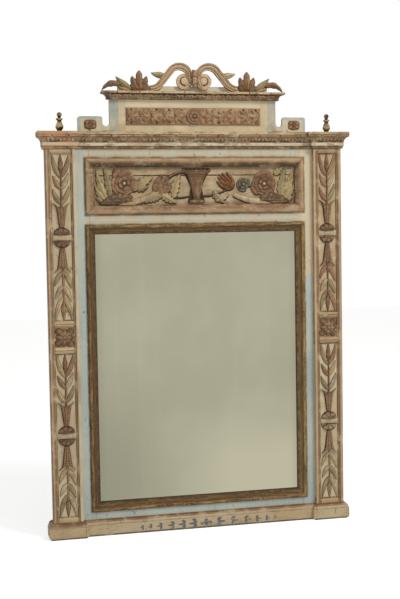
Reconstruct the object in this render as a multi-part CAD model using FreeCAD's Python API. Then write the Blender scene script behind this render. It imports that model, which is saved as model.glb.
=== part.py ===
import FreeCAD, Part
import math
import os

from FreeCAD import Vector

# An overmantel mirror of painted and carved wood.
# Lengths are millimetres. X runs to the right, Y to the wall behind, Z up.
# The origin lies under the middle of the part, on the shelf that it stands on.

# Mirror opening, its moulded edge and the plain borders round it
sight_width = 662
sight_height = 853
sight_bar_width = 30
side_border = 28.5
lower_border = 24
middle_border = 31
upper_border = 26

# Carved frieze over the mirror
frieze_height = 120
frieze_bar_width = 30
frieze_recess = 8
frieze_upper_board = 41
frieze_crack = 1

# Boards of the frame, joined with tenons
frame_thickness = 24
bar_seat = 14
seat_clearance = 0.3
tenon_length = 40
tenon_thickness = 8
tenon_shoulder = 6
tenon_clearance = 0.2
foot_tenon_length = 30
foot_tenon_width = 50
attic_tenon_length = 9
attic_tenon_width = 40
attic_tenon_thickness = 6

# Back of the part
batten_thickness = 12
batten_height = 130
batten_inset = 14
glass_recess = 10
glass_thickness = 3
glass_clearance = 2
block_length = 60
block_width = 12
backboard_thickness = 8
backboard_lap = 20
backboard_gap = 1
backboard_count = 3

# Plinth
plinth_height = 53
plinth_projection = 15
plinth_chamfer = 7
plinth_band = 16
plinth_quirk = 2
plinth_lip = 3
plinth_round = 3

# Pilasters
pilaster_width = 94.5
pilaster_board = 9
strip_thickness = 6
strip_width = 16
strip_bevel = 6
strip_edge = 2
end_bar = 14
cross_bar = 19
rosette_opening = 64

# Carving in the pilaster panels
carving_gap = 0.6
carving_edge = 2.5
tablet_height = 18
tablet_thickness = 4
dome_width = 52
dome_height = 22
dome_crown = 9
husk_length = 74
husk_mouth = 50
husk_foot = 14
husk_notch = 13
husk_waist = 5
husk_crown = 9
stem_width = 5
stem_crown = 4.5
blade_low_shares = (0.22, 0.72)
blade_high_shares = (0.6, 0.92)
spray_leaf_bulge = 6.5
spray_leaf_inner_bulge = 3.5
spray_leaf_crown = 6
spray_margin = 7
spray_leaf_lean = 25
spray_leaf_length_share = 0.34
spray_pair_shares = (0.05, 0.29, 0.53)
spray_bud_share = 0.76

# Rosettes between the pilaster panels
rosette_petals = 6
rosette_radius = 26
rosette_eye = 8
rosette_crown = 7
petal_bulge_share = 0.3
eye_corners = 8

# Main cornice
cornice_projection = 23
cornice_bed_height = 9
cornice_bed_projection = 6
cornice_bed_start = 2
cornice_fillet_height = 12
cornice_fillet_projection = 8.5
cornice_cove_height = 17
cornice_cove_projection = 20
cornice_cove_depth = 3
cornice_lip_height = 5
cornice_lip_projection = 22
cornice_board = 11

# Sections of the frieze and mirror mouldings
frieze_edge = 2
frieze_cushion = 10
frieze_cushion_end_share = 0.86
frieze_cushion_peak_share = 0.4
frieze_inner_edge = 2
sight_edge = 3
sight_bead = 7
sight_bead_width = 9
sight_bead_peak_share = 0.45
sight_step = 4
sight_step_width = 3
sight_cove_depth = 3
sight_lip = 4
sight_lip_width = 2

# Carving in the frieze, with heights and places as shares of its panel
relief_edge = 3
urn_height_share = 0.9
urn_rim = 84
urn_neck = 62
urn_foot = 32
urn_base = 54
urn_rim_height = 12
urn_base_height = 12
urn_belly = 6
urn_crown = 13
rose_radius = 40
rose_petals = 7
rose_eye = 13
rose_crown = 10
rose_place_shares = (0.69, 0.58)
stem_thick = 10
frieze_stem_crown = 7
stem_start_shares = (0.93, 0.04)
stem_end_shares = (0.43, 0.28)
stem_sag = 8
tulip_length = 62
tulip_bulge = 9
tulip_side_length = 46
tulip_crown = 9
tulip_place_shares = (0.4, 0.3)
tulip_lean = 48
tulip_spread = 27
frieze_leaf_crown = 7
# Place, length and bulge of each frieze leaf on one side of the urn, with its lean in degrees
frieze_leaf_shares = (
    (0.945, 0.30, 0.55, 0.085, 2),
    (0.885, 0.40, 0.48, 0.075, -16),
    (0.50, 0.46, 0.44, 0.080, 6),
    (0.37, 0.06, 0.42, 0.070, -74),
    (0.21, 0.16, 0.50, 0.080, -14),
)

# Attic over the cornice
attic_inset = 238
attic_height = 104
attic_thickness = 14
upstand_height = 18
upright_width = 28
trough_width = 23
trough_floor = 20
shoulder_width = 78
shoulder_height = 51
shoulder_corner = 8
patera_width = 40
patera_height = 30
patera_crown = 5
patera_corner = 6
band_margin = 25
band_height = 53
band_thickness = 5
band_leaf_count = 5
band_leaf_crown = 6
band_flower_radius = 24
band_flower_petals = 4
band_eye = 7

# Attic cornice
attic_cornice_height = 25
attic_cornice_projection = 26
attic_fillet_height = 6
attic_fillet_projection = 9
attic_cove_height = 12
attic_cove_projection = 24
attic_cove_depth = 3

# Carved crest of two scrolls with foliage
crest_height = 90
crest_depth = 16
scroll_band = 20
scroll_bevel = 4
scroll_top_radius = 35
scroll_top_place = 48
scroll_foot_radius = 46
scroll_slope = 51
volute_drop = 8
volute_rim = 8
volute_rim_depth = 14
volute_radius = 23
volute_shrink = 6
volute_turns = 2
volute_ground = 9
volute_eye = 9
neck_leaf_length = 49
neck_leaf_bulge = 8
neck_leaf_lean = 68
neck_leaf_place_share = 0.647
tie_width = 22
tie_height = 32
tie_thickness = 4
tie_drop = 22
foliage_edge = 7
foliage_crown = 12
# Places, lengths and bulges as shares of the run from the scroll's foot to the crest's end,
# with leans in degrees
palmette_place_share = 0.225
palmette_shares = ((0.413, 0.069, 0), (0.356, 0.057, 30), (0.356, 0.057, -30))
spear_shares = (0.445, 0.356, 0.057, 46)
end_leaf_shares = (0.617, 0.368, 0.126, 0.017, 90)

# Turned finials
finial_height = 59
finial_foot_radius = 10
finial_foot_height = 6
finial_bulb_radius = 12.5
finial_bulb_height = 27
finial_neck_radius = 4
finial_collar_radius = 8.5
finial_ball_radius = 9
finial_setback = 26
finial_round_shares = (0.25, 0.75)

# Hanging plates and rings on the back
plate_width = 20
plate_height = 40
plate_thickness = 2
plate_drop = 18
knuckle = 8
eye_offset = 4.4
pin_radius = 2
pin_clearance = 0.08
ring_wire = 4
ring_depth = 3.6
ring_drop = 24
ring_corner = 9
ring_side_gap = 0.5

# Working tolerances
overrun = 5
point_match = 0.001

# Planes and levels worked out from the sizes above
pilaster_projection = pilaster_board + strip_thickness
depth = cornice_projection + pilaster_projection + frame_thickness + batten_thickness
wall_y = depth / 2
frame_back_y = wall_y - batten_thickness
frame_face_y = frame_back_y - frame_thickness
board_face_y = frame_face_y - pilaster_board
pilaster_face_y = frame_face_y - pilaster_projection
frieze_face_y = frame_face_y + frieze_recess
attic_face_y = wall_y - attic_thickness

sight_half = sight_width / 2
outer_half = sight_half + sight_bar_width
opening_half = outer_half - bar_seat
field_half = outer_half + side_border
pilaster_outer = field_half + pilaster_width
pilaster_x = field_half + pilaster_width / 2
frieze_half = outer_half - frieze_bar_width

sight_bottom = plinth_height + lower_border
sight_top = sight_bottom + sight_height + 2 * sight_bar_width
frieze_bottom = sight_top + middle_border
frieze_top = frieze_bottom + frieze_height + 2 * frieze_bar_width
cornice_bottom = frieze_top + upper_border
cornice_bars = cornice_bed_height + cornice_fillet_height + cornice_cove_height + cornice_lip_height
frame_top = cornice_bottom + cornice_bars
attic_bottom = frame_top + cornice_board
attic_cornice_bottom = attic_bottom + attic_height
crest_bottom = attic_cornice_bottom + attic_cornice_height

attic_half = pilaster_outer - attic_inset
upright_half = attic_half + upright_width
crest_half = upright_half + attic_cornice_projection
stile_x = (opening_half + pilaster_outer) / 2
panel_floor = frieze_bottom + frieze_bar_width

right = Vector(1, 0, 0)
back = Vector(0, 1, 0)
up = Vector(0, 0, 1)


# Ways to read a pair of numbers as a point: facing the viewer, across a bar, or in plan
def facing(a, b):
    return Vector(a, 0, b)


def across(a, b):
    return Vector(0, a, b)


def in_plan(a, b):
    return Vector(a, b, 0)


# A face from its corners, where a pair of points stands for an arc through the first to the second
def outline(steps, read):
    first = read(*steps[0])
    here = first
    edges = []
    for step in steps[1:]:
        if isinstance(step[0], tuple):
            there = read(*step[1])
            edges.append(Part.Arc(here, read(*step[0]), there).toShape())
        else:
            there = read(*step)
            edges.append(Part.LineSegment(here, there).toShape())
        here = there
    if not here.isEqual(first, point_match):
        edges.append(Part.LineSegment(here, first).toShape())
    return Part.Face(Part.Wire(edges))


# The middle of an arc, pushed aside from the middle of its chord
def bow(start, end, push):
    run = (end[0] - start[0], end[1] - start[1])
    chord = math.hypot(*run)
    return (
        start[0] + run[0] / 2 - run[1] / chord * push,
        start[1] + run[1] / 2 + run[0] / chord * push,
    )


def box(x, y, z):
    corner = Vector(x[0], y[0], z[0])
    return Part.makeBox(x[1] - x[0], y[1] - y[0], z[1] - z[0], corner)


def rod(radius, length, foot, axis):
    return Part.makeCylinder(radius, length, foot, axis)


def moved(shape, x, y, z):
    return shape.translated(Vector(x, y, z))


# Leans a piece that faces the viewer, to the right for a positive angle
def leaned(shape, angle):
    return shape.rotated(Vector(0, 0, 0), back, angle)


def mirrored(shape):
    return shape.mirror(Vector(0, 0, 0), right)


def both_sides(shapes):
    return shapes + [mirrored(shape) for shape in shapes]


def cut_by(shape, tools):
    for tool in tools:
        shape = shape.cut(tool)
    return shape


# A bar of one section whose ends slope with the distance from its back, as in a mitre
def mitred_bar(section, start, end, start_slope, end_slope):
    bounds = section.BoundBox
    near = bounds.YMin - overrun
    far = bounds.YMax + overrun
    plan = outline(
        [
            (start + start_slope * near, near),
            (end + end_slope * near, near),
            (end + end_slope * far, far),
            (start + start_slope * far, far),
        ],
        in_plan,
    )
    low = min(start + start_slope * near, start + start_slope * far) - overrun
    high = max(end + end_slope * near, end + end_slope * far) + overrun
    length = section.translated(right * low).extrude(right * (high - low))
    height = bounds.ZMax - bounds.ZMin + 2 * overrun
    return length.common(plan.translated(up * (bounds.ZMin - overrun)).extrude(up * height))


# Turns a bar so that its width runs along one axis and its height along another
def placed(bar, origin, width_axis, height_axis):
    run = width_axis.cross(height_axis)
    matrix = FreeCAD.Matrix(
        run.x, width_axis.x, height_axis.x, origin.x,
        run.y, width_axis.y, height_axis.y, origin.y,
        run.z, width_axis.z, height_axis.z, origin.z,
        0, 0, 0, 1,
    )
    bar = bar.copy()
    bar.Placement = FreeCAD.Placement(matrix)
    return bar


# Four mitred bars round an opening, in the order bottom, right, top, left
def picture_frame(section, half_width, bottom, top):
    half_height = (top - bottom) / 2
    middle = (top + bottom) / 2
    wide = mitred_bar(section, -half_width, half_width, 1, -1)
    tall = mitred_bar(section, -half_height, half_height, 1, -1)
    return (
        placed(wide, Vector(0, frame_face_y, bottom), up, -back),
        placed(tall, Vector(half_width, frame_face_y, middle), -right, -back),
        placed(wide, Vector(0, frame_face_y, top), -up, -back),
        placed(tall, Vector(-half_width, frame_face_y, middle), right, -back),
    )


# Raises an outline towards the viewer under a crown that is high along its middle line
def carved(face, edge, crown, rounded):
    bounds = face.BoundBox
    reach = max(abs(bounds.XMin), abs(bounds.XMax)) + overrun
    block = face.extrude(back * -(crown + overrun))
    slope = ((0, -crown), (reach, -edge))
    over = [slope] if rounded else [slope[0], slope[1]]
    arch = outline([(-reach, overrun), (-reach, -edge)] + over + [(reach, overrun)], in_plan)
    low = bounds.ZMin - overrun
    return block.common(arch.translated(up * low).extrude(up * (bounds.ZMax - low + overrun)))


# A leaf with a midrib, growing up from its foot
def leaf(length, left_bulge, right_bulge, edge, crown):
    middle = length / 2
    face = outline([(0, 0), ((-left_bulge, middle), (0, length)), ((right_bulge, middle), (0, 0))], facing)
    return carved(face, edge, crown, False)


# A straight-sided leaf or petal, chiselled in flat facets
def blade(length, left_bulge, right_bulge, edge, crown):
    low, low_bulge = blade_low_shares
    high, high_bulge = blade_high_shares
    face = outline(
        [
            (0, 0),
            (-left_bulge * low_bulge, length * low),
            (-left_bulge * high_bulge, length * high),
            (0, length),
            (right_bulge * high_bulge, length * high),
            (right_bulge * low_bulge, length * low),
        ],
        facing,
    )
    return carved(face, edge, crown, False)


# The flat-sided eye of a flower or a volute
def eye_face(radius):
    turn = 2 * math.pi / eye_corners
    corners = [(radius * math.sin(turn * i), radius * math.cos(turn * i)) for i in range(eye_corners)]
    return outline(corners, facing)


def flower(petals, radius, eye, edge, crown):
    bulge = radius * petal_bulge_share
    petal = blade(radius - eye - carving_gap, bulge, bulge, edge, crown)
    petal = moved(petal, 0, 0, eye + carving_gap)
    step = 360 / petals
    return [carved(eye_face(eye), edge, crown, False)] + [leaned(petal, step * i) for i in range(petals)]


tenon_y = (frame_face_y + frame_back_y - tenon_thickness) / 2


# A rail's two tenons in one, or the mortises for them when grown by a clearance
def rail_tenon(bottom, top, grow):
    end = opening_half + tenon_length + grow
    return box(
        (-end, end),
        (tenon_y - grow, tenon_y + tenon_thickness + grow),
        (bottom + tenon_shoulder - grow, top - tenon_shoulder + grow),
    )


# The tenon at a stile's foot, or the mortise for it in the plinth block
def foot_tenon(grow):
    half = foot_tenon_width / 2 + grow
    return box(
        (pilaster_x - half, pilaster_x + half),
        (tenon_y - grow, tenon_y + tenon_thickness + grow),
        (plinth_height - foot_tenon_length - grow, plinth_height),
    )


rail_spans = {
    "bottom_rail": (plinth_height, sight_bottom + bar_seat),
    "middle_rail": (sight_top - bar_seat, frieze_bottom + bar_seat),
    "top_rail": (frieze_top - bar_seat, frame_top),
}


# Stiles and rails of the frame, mortised and tenoned
def frame_boards():
    depth_span = (frame_face_y, frame_back_y)
    stile = box((opening_half, pilaster_outer), depth_span, (plinth_height, frame_top))
    stile = cut_by(stile, [rail_tenon(*span, tenon_clearance) for span in rail_spans.values()])
    stile = stile.fuse(foot_tenon(0)).removeSplitter()
    boards = {"stile_left": mirrored(stile), "stile_right": stile}
    for name, span in rail_spans.items():
        body = box((-opening_half, opening_half), depth_span, span)
        boards[name] = body.fuse(rail_tenon(*span, 0)).removeSplitter()
    return boards


# Section of the plinth towards the viewer, from the plane that it stands out from back to the wall
def plinth_steps(face, end):
    front = face - plinth_projection
    ovolo_foot = (front + plinth_quirk, plinth_height - plinth_band)
    ovolo_top = (face - plinth_lip, plinth_height)
    return [
        (end, 0),
        (front + plinth_chamfer, 0),
        (front, plinth_chamfer),
        (front, plinth_height - plinth_band),
        ovolo_foot,
        (bow(ovolo_foot, ovolo_top, plinth_round), ovolo_top),
        (end, plinth_height),
    ]


def plinth():
    low = field_half - plinth_projection - overrun
    high = pilaster_outer + plinth_projection + overrun
    front = outline(plinth_steps(pilaster_face_y, wall_y), across)
    front = front.translated(right * low).extrude(right * (high - low))
    front_end = pilaster_face_y - plinth_projection - overrun
    side = outline(plinth_steps(field_half, pilaster_x), facing).translated(back * front_end)
    half = front.common(side.extrude(back * (wall_y + overrun - front_end)))
    other_half = half.mirror(Vector(pilaster_x, 0, 0), right)
    block = half.fuse(other_half).removeSplitter().cut(foot_tenon(tenon_clearance))
    centre = outline(plinth_steps(frame_face_y, wall_y), across).translated(right * -field_half)
    centre = centre.extrude(right * (2 * field_half))
    return {
        "plinth_centre": cut_by(centre, both_sides([block])),
        "plinth_block_left": mirrored(block),
        "plinth_block_right": block,
    }


# A flat strip with bevelled edges, running up from its lower end
def strip(width, length, left_bevel, right_bevel):
    steps = [
        (0, 0),
        (0, -strip_edge if left_bevel else -strip_thickness),
        (left_bevel, -strip_thickness),
        (width - right_bevel, -strip_thickness),
        (width, -strip_edge if right_bevel else -strip_thickness),
        (width, 0),
    ]
    corners = [step for i, step in enumerate(steps) if step != steps[i - 1]]
    return outline(corners, in_plan).extrude(up * length)


panel_half_width = pilaster_width / 2 - strip_width
pilaster_middle = (plinth_height + cornice_bottom) / 2
pilaster_height = cornice_bottom - plinth_height
panel_length = (pilaster_height - rosette_opening) / 2 - cross_bar - end_bar
panel_offset = rosette_opening / 2 + cross_bar + panel_length / 2


# Strips that frame the panels, round a pilaster's middle line, with cross bars scribed to the upright ones
def pilaster_strips():
    length = frame_top - plinth_height
    upright = moved(strip(strip_width, length, 0, strip_bevel), -pilaster_width / 2, 0, plinth_height)
    uprights = both_sides([upright])
    lower_edge = pilaster_middle - rosette_opening / 2
    upper_edge = pilaster_middle + rosette_opening / 2
    spans = (
        (plinth_height, plinth_height + end_bar, 0, strip_bevel),
        (lower_edge - cross_bar, lower_edge, strip_bevel, strip_bevel),
        (upper_edge, upper_edge + cross_bar, strip_bevel, strip_bevel),
        (cornice_bottom - end_bar, frame_top, strip_bevel, 0),
    )
    reach = panel_half_width + strip_bevel
    bars = []
    for bottom, top, lower_bevel, upper_bevel in spans:
        bar = leaned(strip(top - bottom, 2 * reach, upper_bevel, lower_bevel), 90)
        bars.append(cut_by(moved(bar, -reach, 0, top), uprights))
    return uprights + bars


# A stem with pairs of leaves and a bud, growing up from its foot
def spray(length):
    bud_foot = length * spray_bud_share
    stem_half = stem_width / 2
    stem_corners = [(-stem_half, 0), (-stem_half, bud_foot), (stem_half, bud_foot), (stem_half, 0)]
    stem = carved(outline(stem_corners, facing), carving_edge, stem_crown, False)
    bud_length = length - bud_foot - carving_gap
    bud = blade(bud_length, spray_leaf_bulge, spray_leaf_bulge, carving_edge, spray_leaf_crown)
    pieces = [stem, moved(bud, 0, 0, bud_foot + carving_gap)]
    side_leaf = blade(length * spray_leaf_length_share, spray_leaf_inner_bulge, spray_leaf_bulge,
                      carving_edge, spray_leaf_crown)
    side_leaf = leaned(side_leaf, spray_leaf_lean)
    for share in spray_pair_shares:
        pieces += both_sides([moved(side_leaf, stem_half + carving_gap, 0, length * share)])
    return pieces


# Half of a panel's carving, growing up from the tablet in its middle
def panel_half():
    dome_foot = tablet_height / 2 + carving_gap
    half_dome = dome_width / 2
    dome = carved(outline([(-half_dome, 0), ((0, dome_height), (half_dome, 0))], facing),
                  carving_edge, dome_crown, False)
    husk_foot_z = dome_foot + dome_height + carving_gap
    half_foot = husk_foot / 2
    half_mouth = husk_mouth / 2
    left_foot = (-half_foot, 0)
    left_horn = (-half_mouth, husk_length)
    right_foot = (half_foot, 0)
    right_horn = (half_mouth, husk_length)
    husk = carved(
        outline(
            [
                left_foot,
                (bow(left_foot, left_horn, -husk_waist), left_horn),
                (0, husk_length - husk_notch),
                right_horn,
                (bow(right_horn, right_foot, -husk_waist), right_foot),
            ],
            facing,
        ),
        carving_edge,
        husk_crown,
        False,
    )
    notch_rise = stem_width / 2 * husk_notch / half_mouth
    spray_foot = husk_foot_z + husk_length - husk_notch + notch_rise + carving_gap
    twigs = spray(panel_length / 2 - spray_margin - spray_foot)
    return (
        [moved(dome, 0, 0, dome_foot), moved(husk, 0, 0, husk_foot_z)]
        + [moved(twig, 0, 0, spray_foot) for twig in twigs]
    )


def panel_carving():
    half_tablet = tablet_height / 2
    width = panel_half_width - carving_gap
    tablet = box((-width, width), (-tablet_thickness, 0), (-half_tablet, half_tablet))
    upper = panel_half()
    return [tablet] + upper + [leaned(piece, 180) for piece in upper]


def pilasters():
    board = box((field_half, pilaster_outer), (board_face_y, frame_face_y), (plinth_height, frame_top))
    nodes = {"pilaster_board_left": [mirrored(board)], "pilaster_board_right": [board]}
    strips = pilaster_strips()
    carving = panel_carving()
    bloom = flower(rosette_petals, rosette_radius, rosette_eye, carving_edge, rosette_crown)
    for side, x in (("left", -pilaster_x), ("right", pilaster_x)):
        nodes["pilaster_strips_" + side] = [moved(piece, x, board_face_y, 0) for piece in strips]
        nodes["rosette_" + side] = [moved(piece, x, board_face_y, pilaster_middle) for piece in bloom]
        for level, z in (("upper", panel_offset), ("lower", -panel_offset)):
            nodes["panel_carving_" + level + "_" + side] = [
                moved(piece, x, board_face_y, pilaster_middle + z) for piece in carving
            ]
    return nodes


def cornice_section():
    fillet_foot = cornice_bed_height
    cove_foot = fillet_foot + cornice_fillet_height
    lip_foot = cove_foot + cornice_cove_height
    bed_start = (cornice_bed_start, 0)
    bed_end = (cornice_bed_projection, fillet_foot)
    cove_start = (cornice_fillet_projection, cove_foot)
    cove_end = (cornice_cove_projection, lip_foot)
    return outline(
        [
            (0, 0),
            bed_start,
            (bow(bed_start, bed_end, -cornice_bed_start), bed_end),
            (cornice_fillet_projection, fillet_foot),
            cove_start,
            (bow(cove_start, cove_end, cornice_cove_depth), cove_end),
            (cornice_lip_projection, lip_foot),
            (cornice_lip_projection, cornice_bars),
            (0, cornice_bars),
        ],
        across,
    )


# Cornice bars break forward over the pilasters and return along the sides
def cornice():
    section = cornice_section()
    level = Vector(0, 0, cornice_bottom)
    centre = mitred_bar(section, -field_half, field_half, 1, -1)
    front = mitred_bar(section, -pilaster_outer, -field_half, -1, 1)
    inner = mitred_bar(section, pilaster_face_y, frame_face_y, -1, -1)
    outer = mitred_bar(section, -wall_y, -pilaster_face_y, 0, 1)
    front = placed(front, level + back * pilaster_face_y, -back, up)
    inner = placed(inner, level + right * field_half, -right, up)
    outer = placed(outer, level + right * pilaster_outer, right, up)
    return {
        "cornice_centre": [placed(centre, level + back * frame_face_y, -back, up)],
        "cornice_front_left": [mirrored(front)],
        "cornice_front_right": [front],
        "cornice_returns": both_sides([inner, outer]),
    }


def cornice_cap():
    wide = pilaster_outer + cornice_projection
    step = field_half - cornice_projection
    front = pilaster_face_y - cornice_projection
    inner = frame_face_y - cornice_projection
    plan = outline(
        [(-wide, wall_y), (-wide, front), (-step, front), (-step, inner),
         (step, inner), (step, front), (wide, front), (wide, wall_y)],
        in_plan,
    )
    cap = plan.translated(up * frame_top).extrude(up * cornice_board)
    return cut_by(cap, both_sides([attic_tenon(tenon_clearance)]))


def frieze_section():
    tongue = bar_seat + seat_clearance
    rise = (0, frieze_edge)
    fall = (frieze_bar_width * frieze_cushion_end_share, frieze_inner_edge)
    peak = (frieze_bar_width * frieze_cushion_peak_share, frieze_cushion)
    return outline(
        [(0, 0), rise, (peak, fall), (frieze_bar_width, 0), (frieze_bar_width, -frieze_recess),
         (tongue, -frieze_recess), (tongue, 0)],
        across,
    )


# Two planks behind the frieze moulding, held by the batten
def frieze_planks():
    x = (-opening_half + seat_clearance, opening_half - seat_clearance)
    y = (frieze_face_y, frame_back_y)
    top = frieze_top - bar_seat - seat_clearance
    split = frieze_top - frieze_bar_width - frieze_upper_board + bar_seat
    bottom = frieze_bottom + bar_seat + seat_clearance
    return {
        "frieze_plank_upper": box(x, y, (split + frieze_crack, top)),
        "frieze_plank_lower": box(x, y, (bottom, split)),
    }


def urn():
    height = frieze_height * urn_height_share
    rim_z = height - urn_rim_height
    half_rim = urn_rim / 2
    half_neck = urn_neck / 2
    half_foot = urn_foot / 2
    half_base = urn_base / 2
    side = bow((half_neck, rim_z), (half_foot, urn_base_height), urn_belly)
    face = outline(
        [
            (-half_base, 0),
            (-half_foot, urn_base_height),
            ((-side[0], side[1]), (-half_neck, rim_z)),
            (-half_rim, height),
            (half_rim, height),
            (half_neck, rim_z),
            (side, (half_foot, urn_base_height)),
            (half_base, 0),
        ],
        facing,
    )
    return moved(carved(face, relief_edge, urn_crown, True), 0, 0, (frieze_height - height) / 2)


def frieze_stem():
    start = (stem_start_shares[0] * frieze_half, stem_start_shares[1] * frieze_height)
    end = (stem_end_shares[0] * frieze_half, stem_end_shares[1] * frieze_height)
    under = bow(start, end, stem_sag + stem_thick / 2)
    over = bow(start, end, stem_sag - stem_thick / 2)
    return outline([start, (under, end), (over, start)], facing).extrude(back * -frieze_stem_crown)


def tulip():
    middle = blade(tulip_length, tulip_bulge, tulip_bulge, relief_edge, tulip_crown)
    side = blade(tulip_side_length, tulip_bulge, tulip_bulge, relief_edge, tulip_crown)
    sides = [leaned(side, tulip_spread), leaned(side, -tulip_spread)]
    bloom = middle.multiFuse(sides).removeSplitter()
    x, z = tulip_place_shares
    return moved(leaned(bloom, -tulip_lean), x * frieze_half, 0, z * frieze_height)


def frieze_carving():
    leaves = []
    for x, z, length, bulge, lean in frieze_leaf_shares:
        bulge = bulge * frieze_height
        piece = blade(length * frieze_height, bulge, bulge, relief_edge, frieze_leaf_crown)
        leaves.append(moved(leaned(piece, lean), x * frieze_half, 0, z * frieze_height))
    x, z = rose_place_shares
    rose = flower(rose_petals, rose_radius, rose_eye, relief_edge, rose_crown)
    rose = [moved(piece, x * frieze_half, 0, z * frieze_height) for piece in rose]
    groups = {
        "frieze_urn": [urn()],
        "frieze_stems": both_sides([frieze_stem()]),
        "frieze_roses": both_sides(rose),
        "frieze_tulips": both_sides([tulip()]),
        "frieze_leaves": both_sides(leaves),
    }
    return {
        name: [moved(piece, 0, frieze_face_y, panel_floor) for piece in pieces]
        for name, pieces in groups.items()
    }


def sight_section():
    tongue = bar_seat + seat_clearance
    rise = (0, sight_edge)
    bead_end = (sight_bead_width, sight_edge + sight_step_width)
    bead_peak = (sight_bead_width * sight_bead_peak_share, sight_bead)
    cove_start = (sight_bead_width + sight_step_width, sight_step)
    cove_end = (sight_bar_width - sight_lip_width, sight_lip - glass_recess)
    return outline(
        [
            (0, 0),
            rise,
            (bead_peak, bead_end),
            cove_start,
            (bow(cove_start, cove_end, -sight_cove_depth), cove_end),
            (sight_bar_width, sight_lip - glass_recess),
            (sight_bar_width, -glass_recess),
            (tongue, -glass_recess),
            (tongue, 0),
        ],
        across,
    )


# Mirror plate, the blocks that wedge it and the planks nailed over its back
def mirror_plate():
    front = frame_face_y + glass_recess
    rear = front + glass_thickness
    bottom = sight_bottom + bar_seat
    top = sight_top - bar_seat
    half = opening_half - glass_clearance
    plate = box((-half, half), (front, rear), (bottom + glass_clearance, top - glass_clearance))
    blocks = []
    middle = (bottom + top) / 2
    reach = (top - bottom) / 2 - block_width - block_length
    depth_span = (rear, frame_back_y)
    for z in (middle - reach, middle, middle + reach):
        span = (z - block_length / 2, z + block_length / 2)
        blocks += both_sides([box((opening_half - block_width, opening_half), depth_span, span)])
    for z in ((bottom, bottom + block_width), (top - block_width, top)):
        x = opening_half / 2
        blocks += both_sides([box((x - block_length / 2, x + block_length / 2), depth_span, z)])
    width = 2 * (opening_half + backboard_lap)
    pitch = width / backboard_count
    planks = []
    for i in range(backboard_count):
        left = -width / 2 + i * pitch
        planks.append(
            box(
                (left + backboard_gap / 2, left + pitch - backboard_gap / 2),
                (frame_back_y, frame_back_y + backboard_thickness),
                (bottom - backboard_lap, top + backboard_lap),
            )
        )
    return {"mirror_glass": [plate], "glass_blocks": blocks, "backboard_planks": planks}


def batten():
    end = pilaster_outer - batten_inset
    middle = (frieze_bottom + frieze_top) / 2
    return box((-end, end), (frame_back_y, wall_y), (middle - batten_height / 2, middle + batten_height / 2))


# Bracket beside the attic: an upright, a round trough and a low box
def shoulder():
    trough_radius = trough_width / 2
    trough_z = attic_bottom + trough_floor + trough_radius
    box_start = upright_half + trough_width
    box_end = box_start + shoulder_width
    box_top = attic_bottom + shoulder_height
    round_in = shoulder_corner * (1 - math.sqrt(0.5))
    face = outline(
        [
            (attic_half, attic_bottom),
            (box_end, attic_bottom),
            (box_end, box_top - shoulder_corner),
            ((box_end - round_in, box_top - round_in), (box_end - shoulder_corner, box_top)),
            (box_start + shoulder_corner, box_top),
            ((box_start + round_in, box_top - round_in), (box_start, box_top - shoulder_corner)),
            (box_start, trough_z),
            ((upright_half + trough_radius, trough_z - trough_radius), (upright_half, trough_z)),
            (upright_half, crest_bottom),
            (attic_half, crest_bottom),
        ],
        facing,
    )
    return face.translated(back * attic_face_y).extrude(back * attic_thickness)


def patera():
    half = patera_width / 2
    tall = patera_height / 2
    inner = half - patera_corner
    face = outline(
        [(-inner, -tall), (-half, 0), (-inner, tall), (inner, tall), (half, 0), (inner, -tall)],
        facing,
    )
    x = upright_half + trough_width + shoulder_width / 2
    piece = carved(face, carving_edge, patera_crown, True)
    return moved(piece, x, attic_face_y, attic_bottom + shoulder_height / 2)


# Strip of leaves that lie towards a flower in its middle
def carved_band():
    half = attic_half - band_margin
    tall = band_height / 2
    strip_piece = box((-half, half), (-band_thickness, 0), (-tall, tall))
    pitch = (half - band_flower_radius - carving_gap) / band_leaf_count
    bulge = tall - carving_edge
    face = blade(pitch - carving_gap, bulge, bulge, carving_edge, band_leaf_crown)
    leaves = []
    for i in range(band_leaf_count):
        x = half - pitch * i
        leaves.append(moved(leaned(face, -90), x - carving_gap, -band_thickness, 0))
    bloom = flower(band_flower_petals, band_flower_radius, band_eye, carving_edge, band_leaf_crown)
    bloom = [moved(piece, 0, -band_thickness, 0) for piece in bloom]
    middle = attic_bottom + attic_height / 2
    return [moved(piece, 0, attic_face_y, middle) for piece in [strip_piece] + bloom + both_sides(leaves)]


def attic_cornice():
    cove_start = (attic_fillet_projection, attic_fillet_height)
    cove_end = (attic_cove_projection, attic_fillet_height + attic_cove_height)
    section = outline(
        [
            (0, 0),
            (attic_fillet_projection, 0),
            cove_start,
            (bow(cove_start, cove_end, attic_cove_depth), cove_end),
            (attic_cornice_projection, attic_fillet_height + attic_cove_height),
            (attic_cornice_projection, attic_cornice_height),
            (0, attic_cornice_height),
        ],
        across,
    )
    level = Vector(0, 0, attic_cornice_bottom)
    front = mitred_bar(section, -upright_half, upright_half, -1, 1)
    side = mitred_bar(section, -wall_y, -attic_face_y, 0, 1)
    side = placed(side, level + right * upright_half, right, up)
    return {
        "attic_cornice_front": [placed(front, level + back * attic_face_y, -back, up)],
        "attic_cornice_returns": both_sides([side]),
    }


# One of the two tenons that stand the attic panel in the cornice cap
def attic_tenon(grow):
    x = attic_half / 2
    half = attic_tenon_width / 2 + grow
    y = attic_face_y + attic_thickness / 2
    deep = attic_tenon_thickness / 2 + grow
    foot = attic_bottom - attic_tenon_length - grow
    return box((x - half, x + half), (y - deep, y + deep), (foot, attic_bottom))


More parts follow.
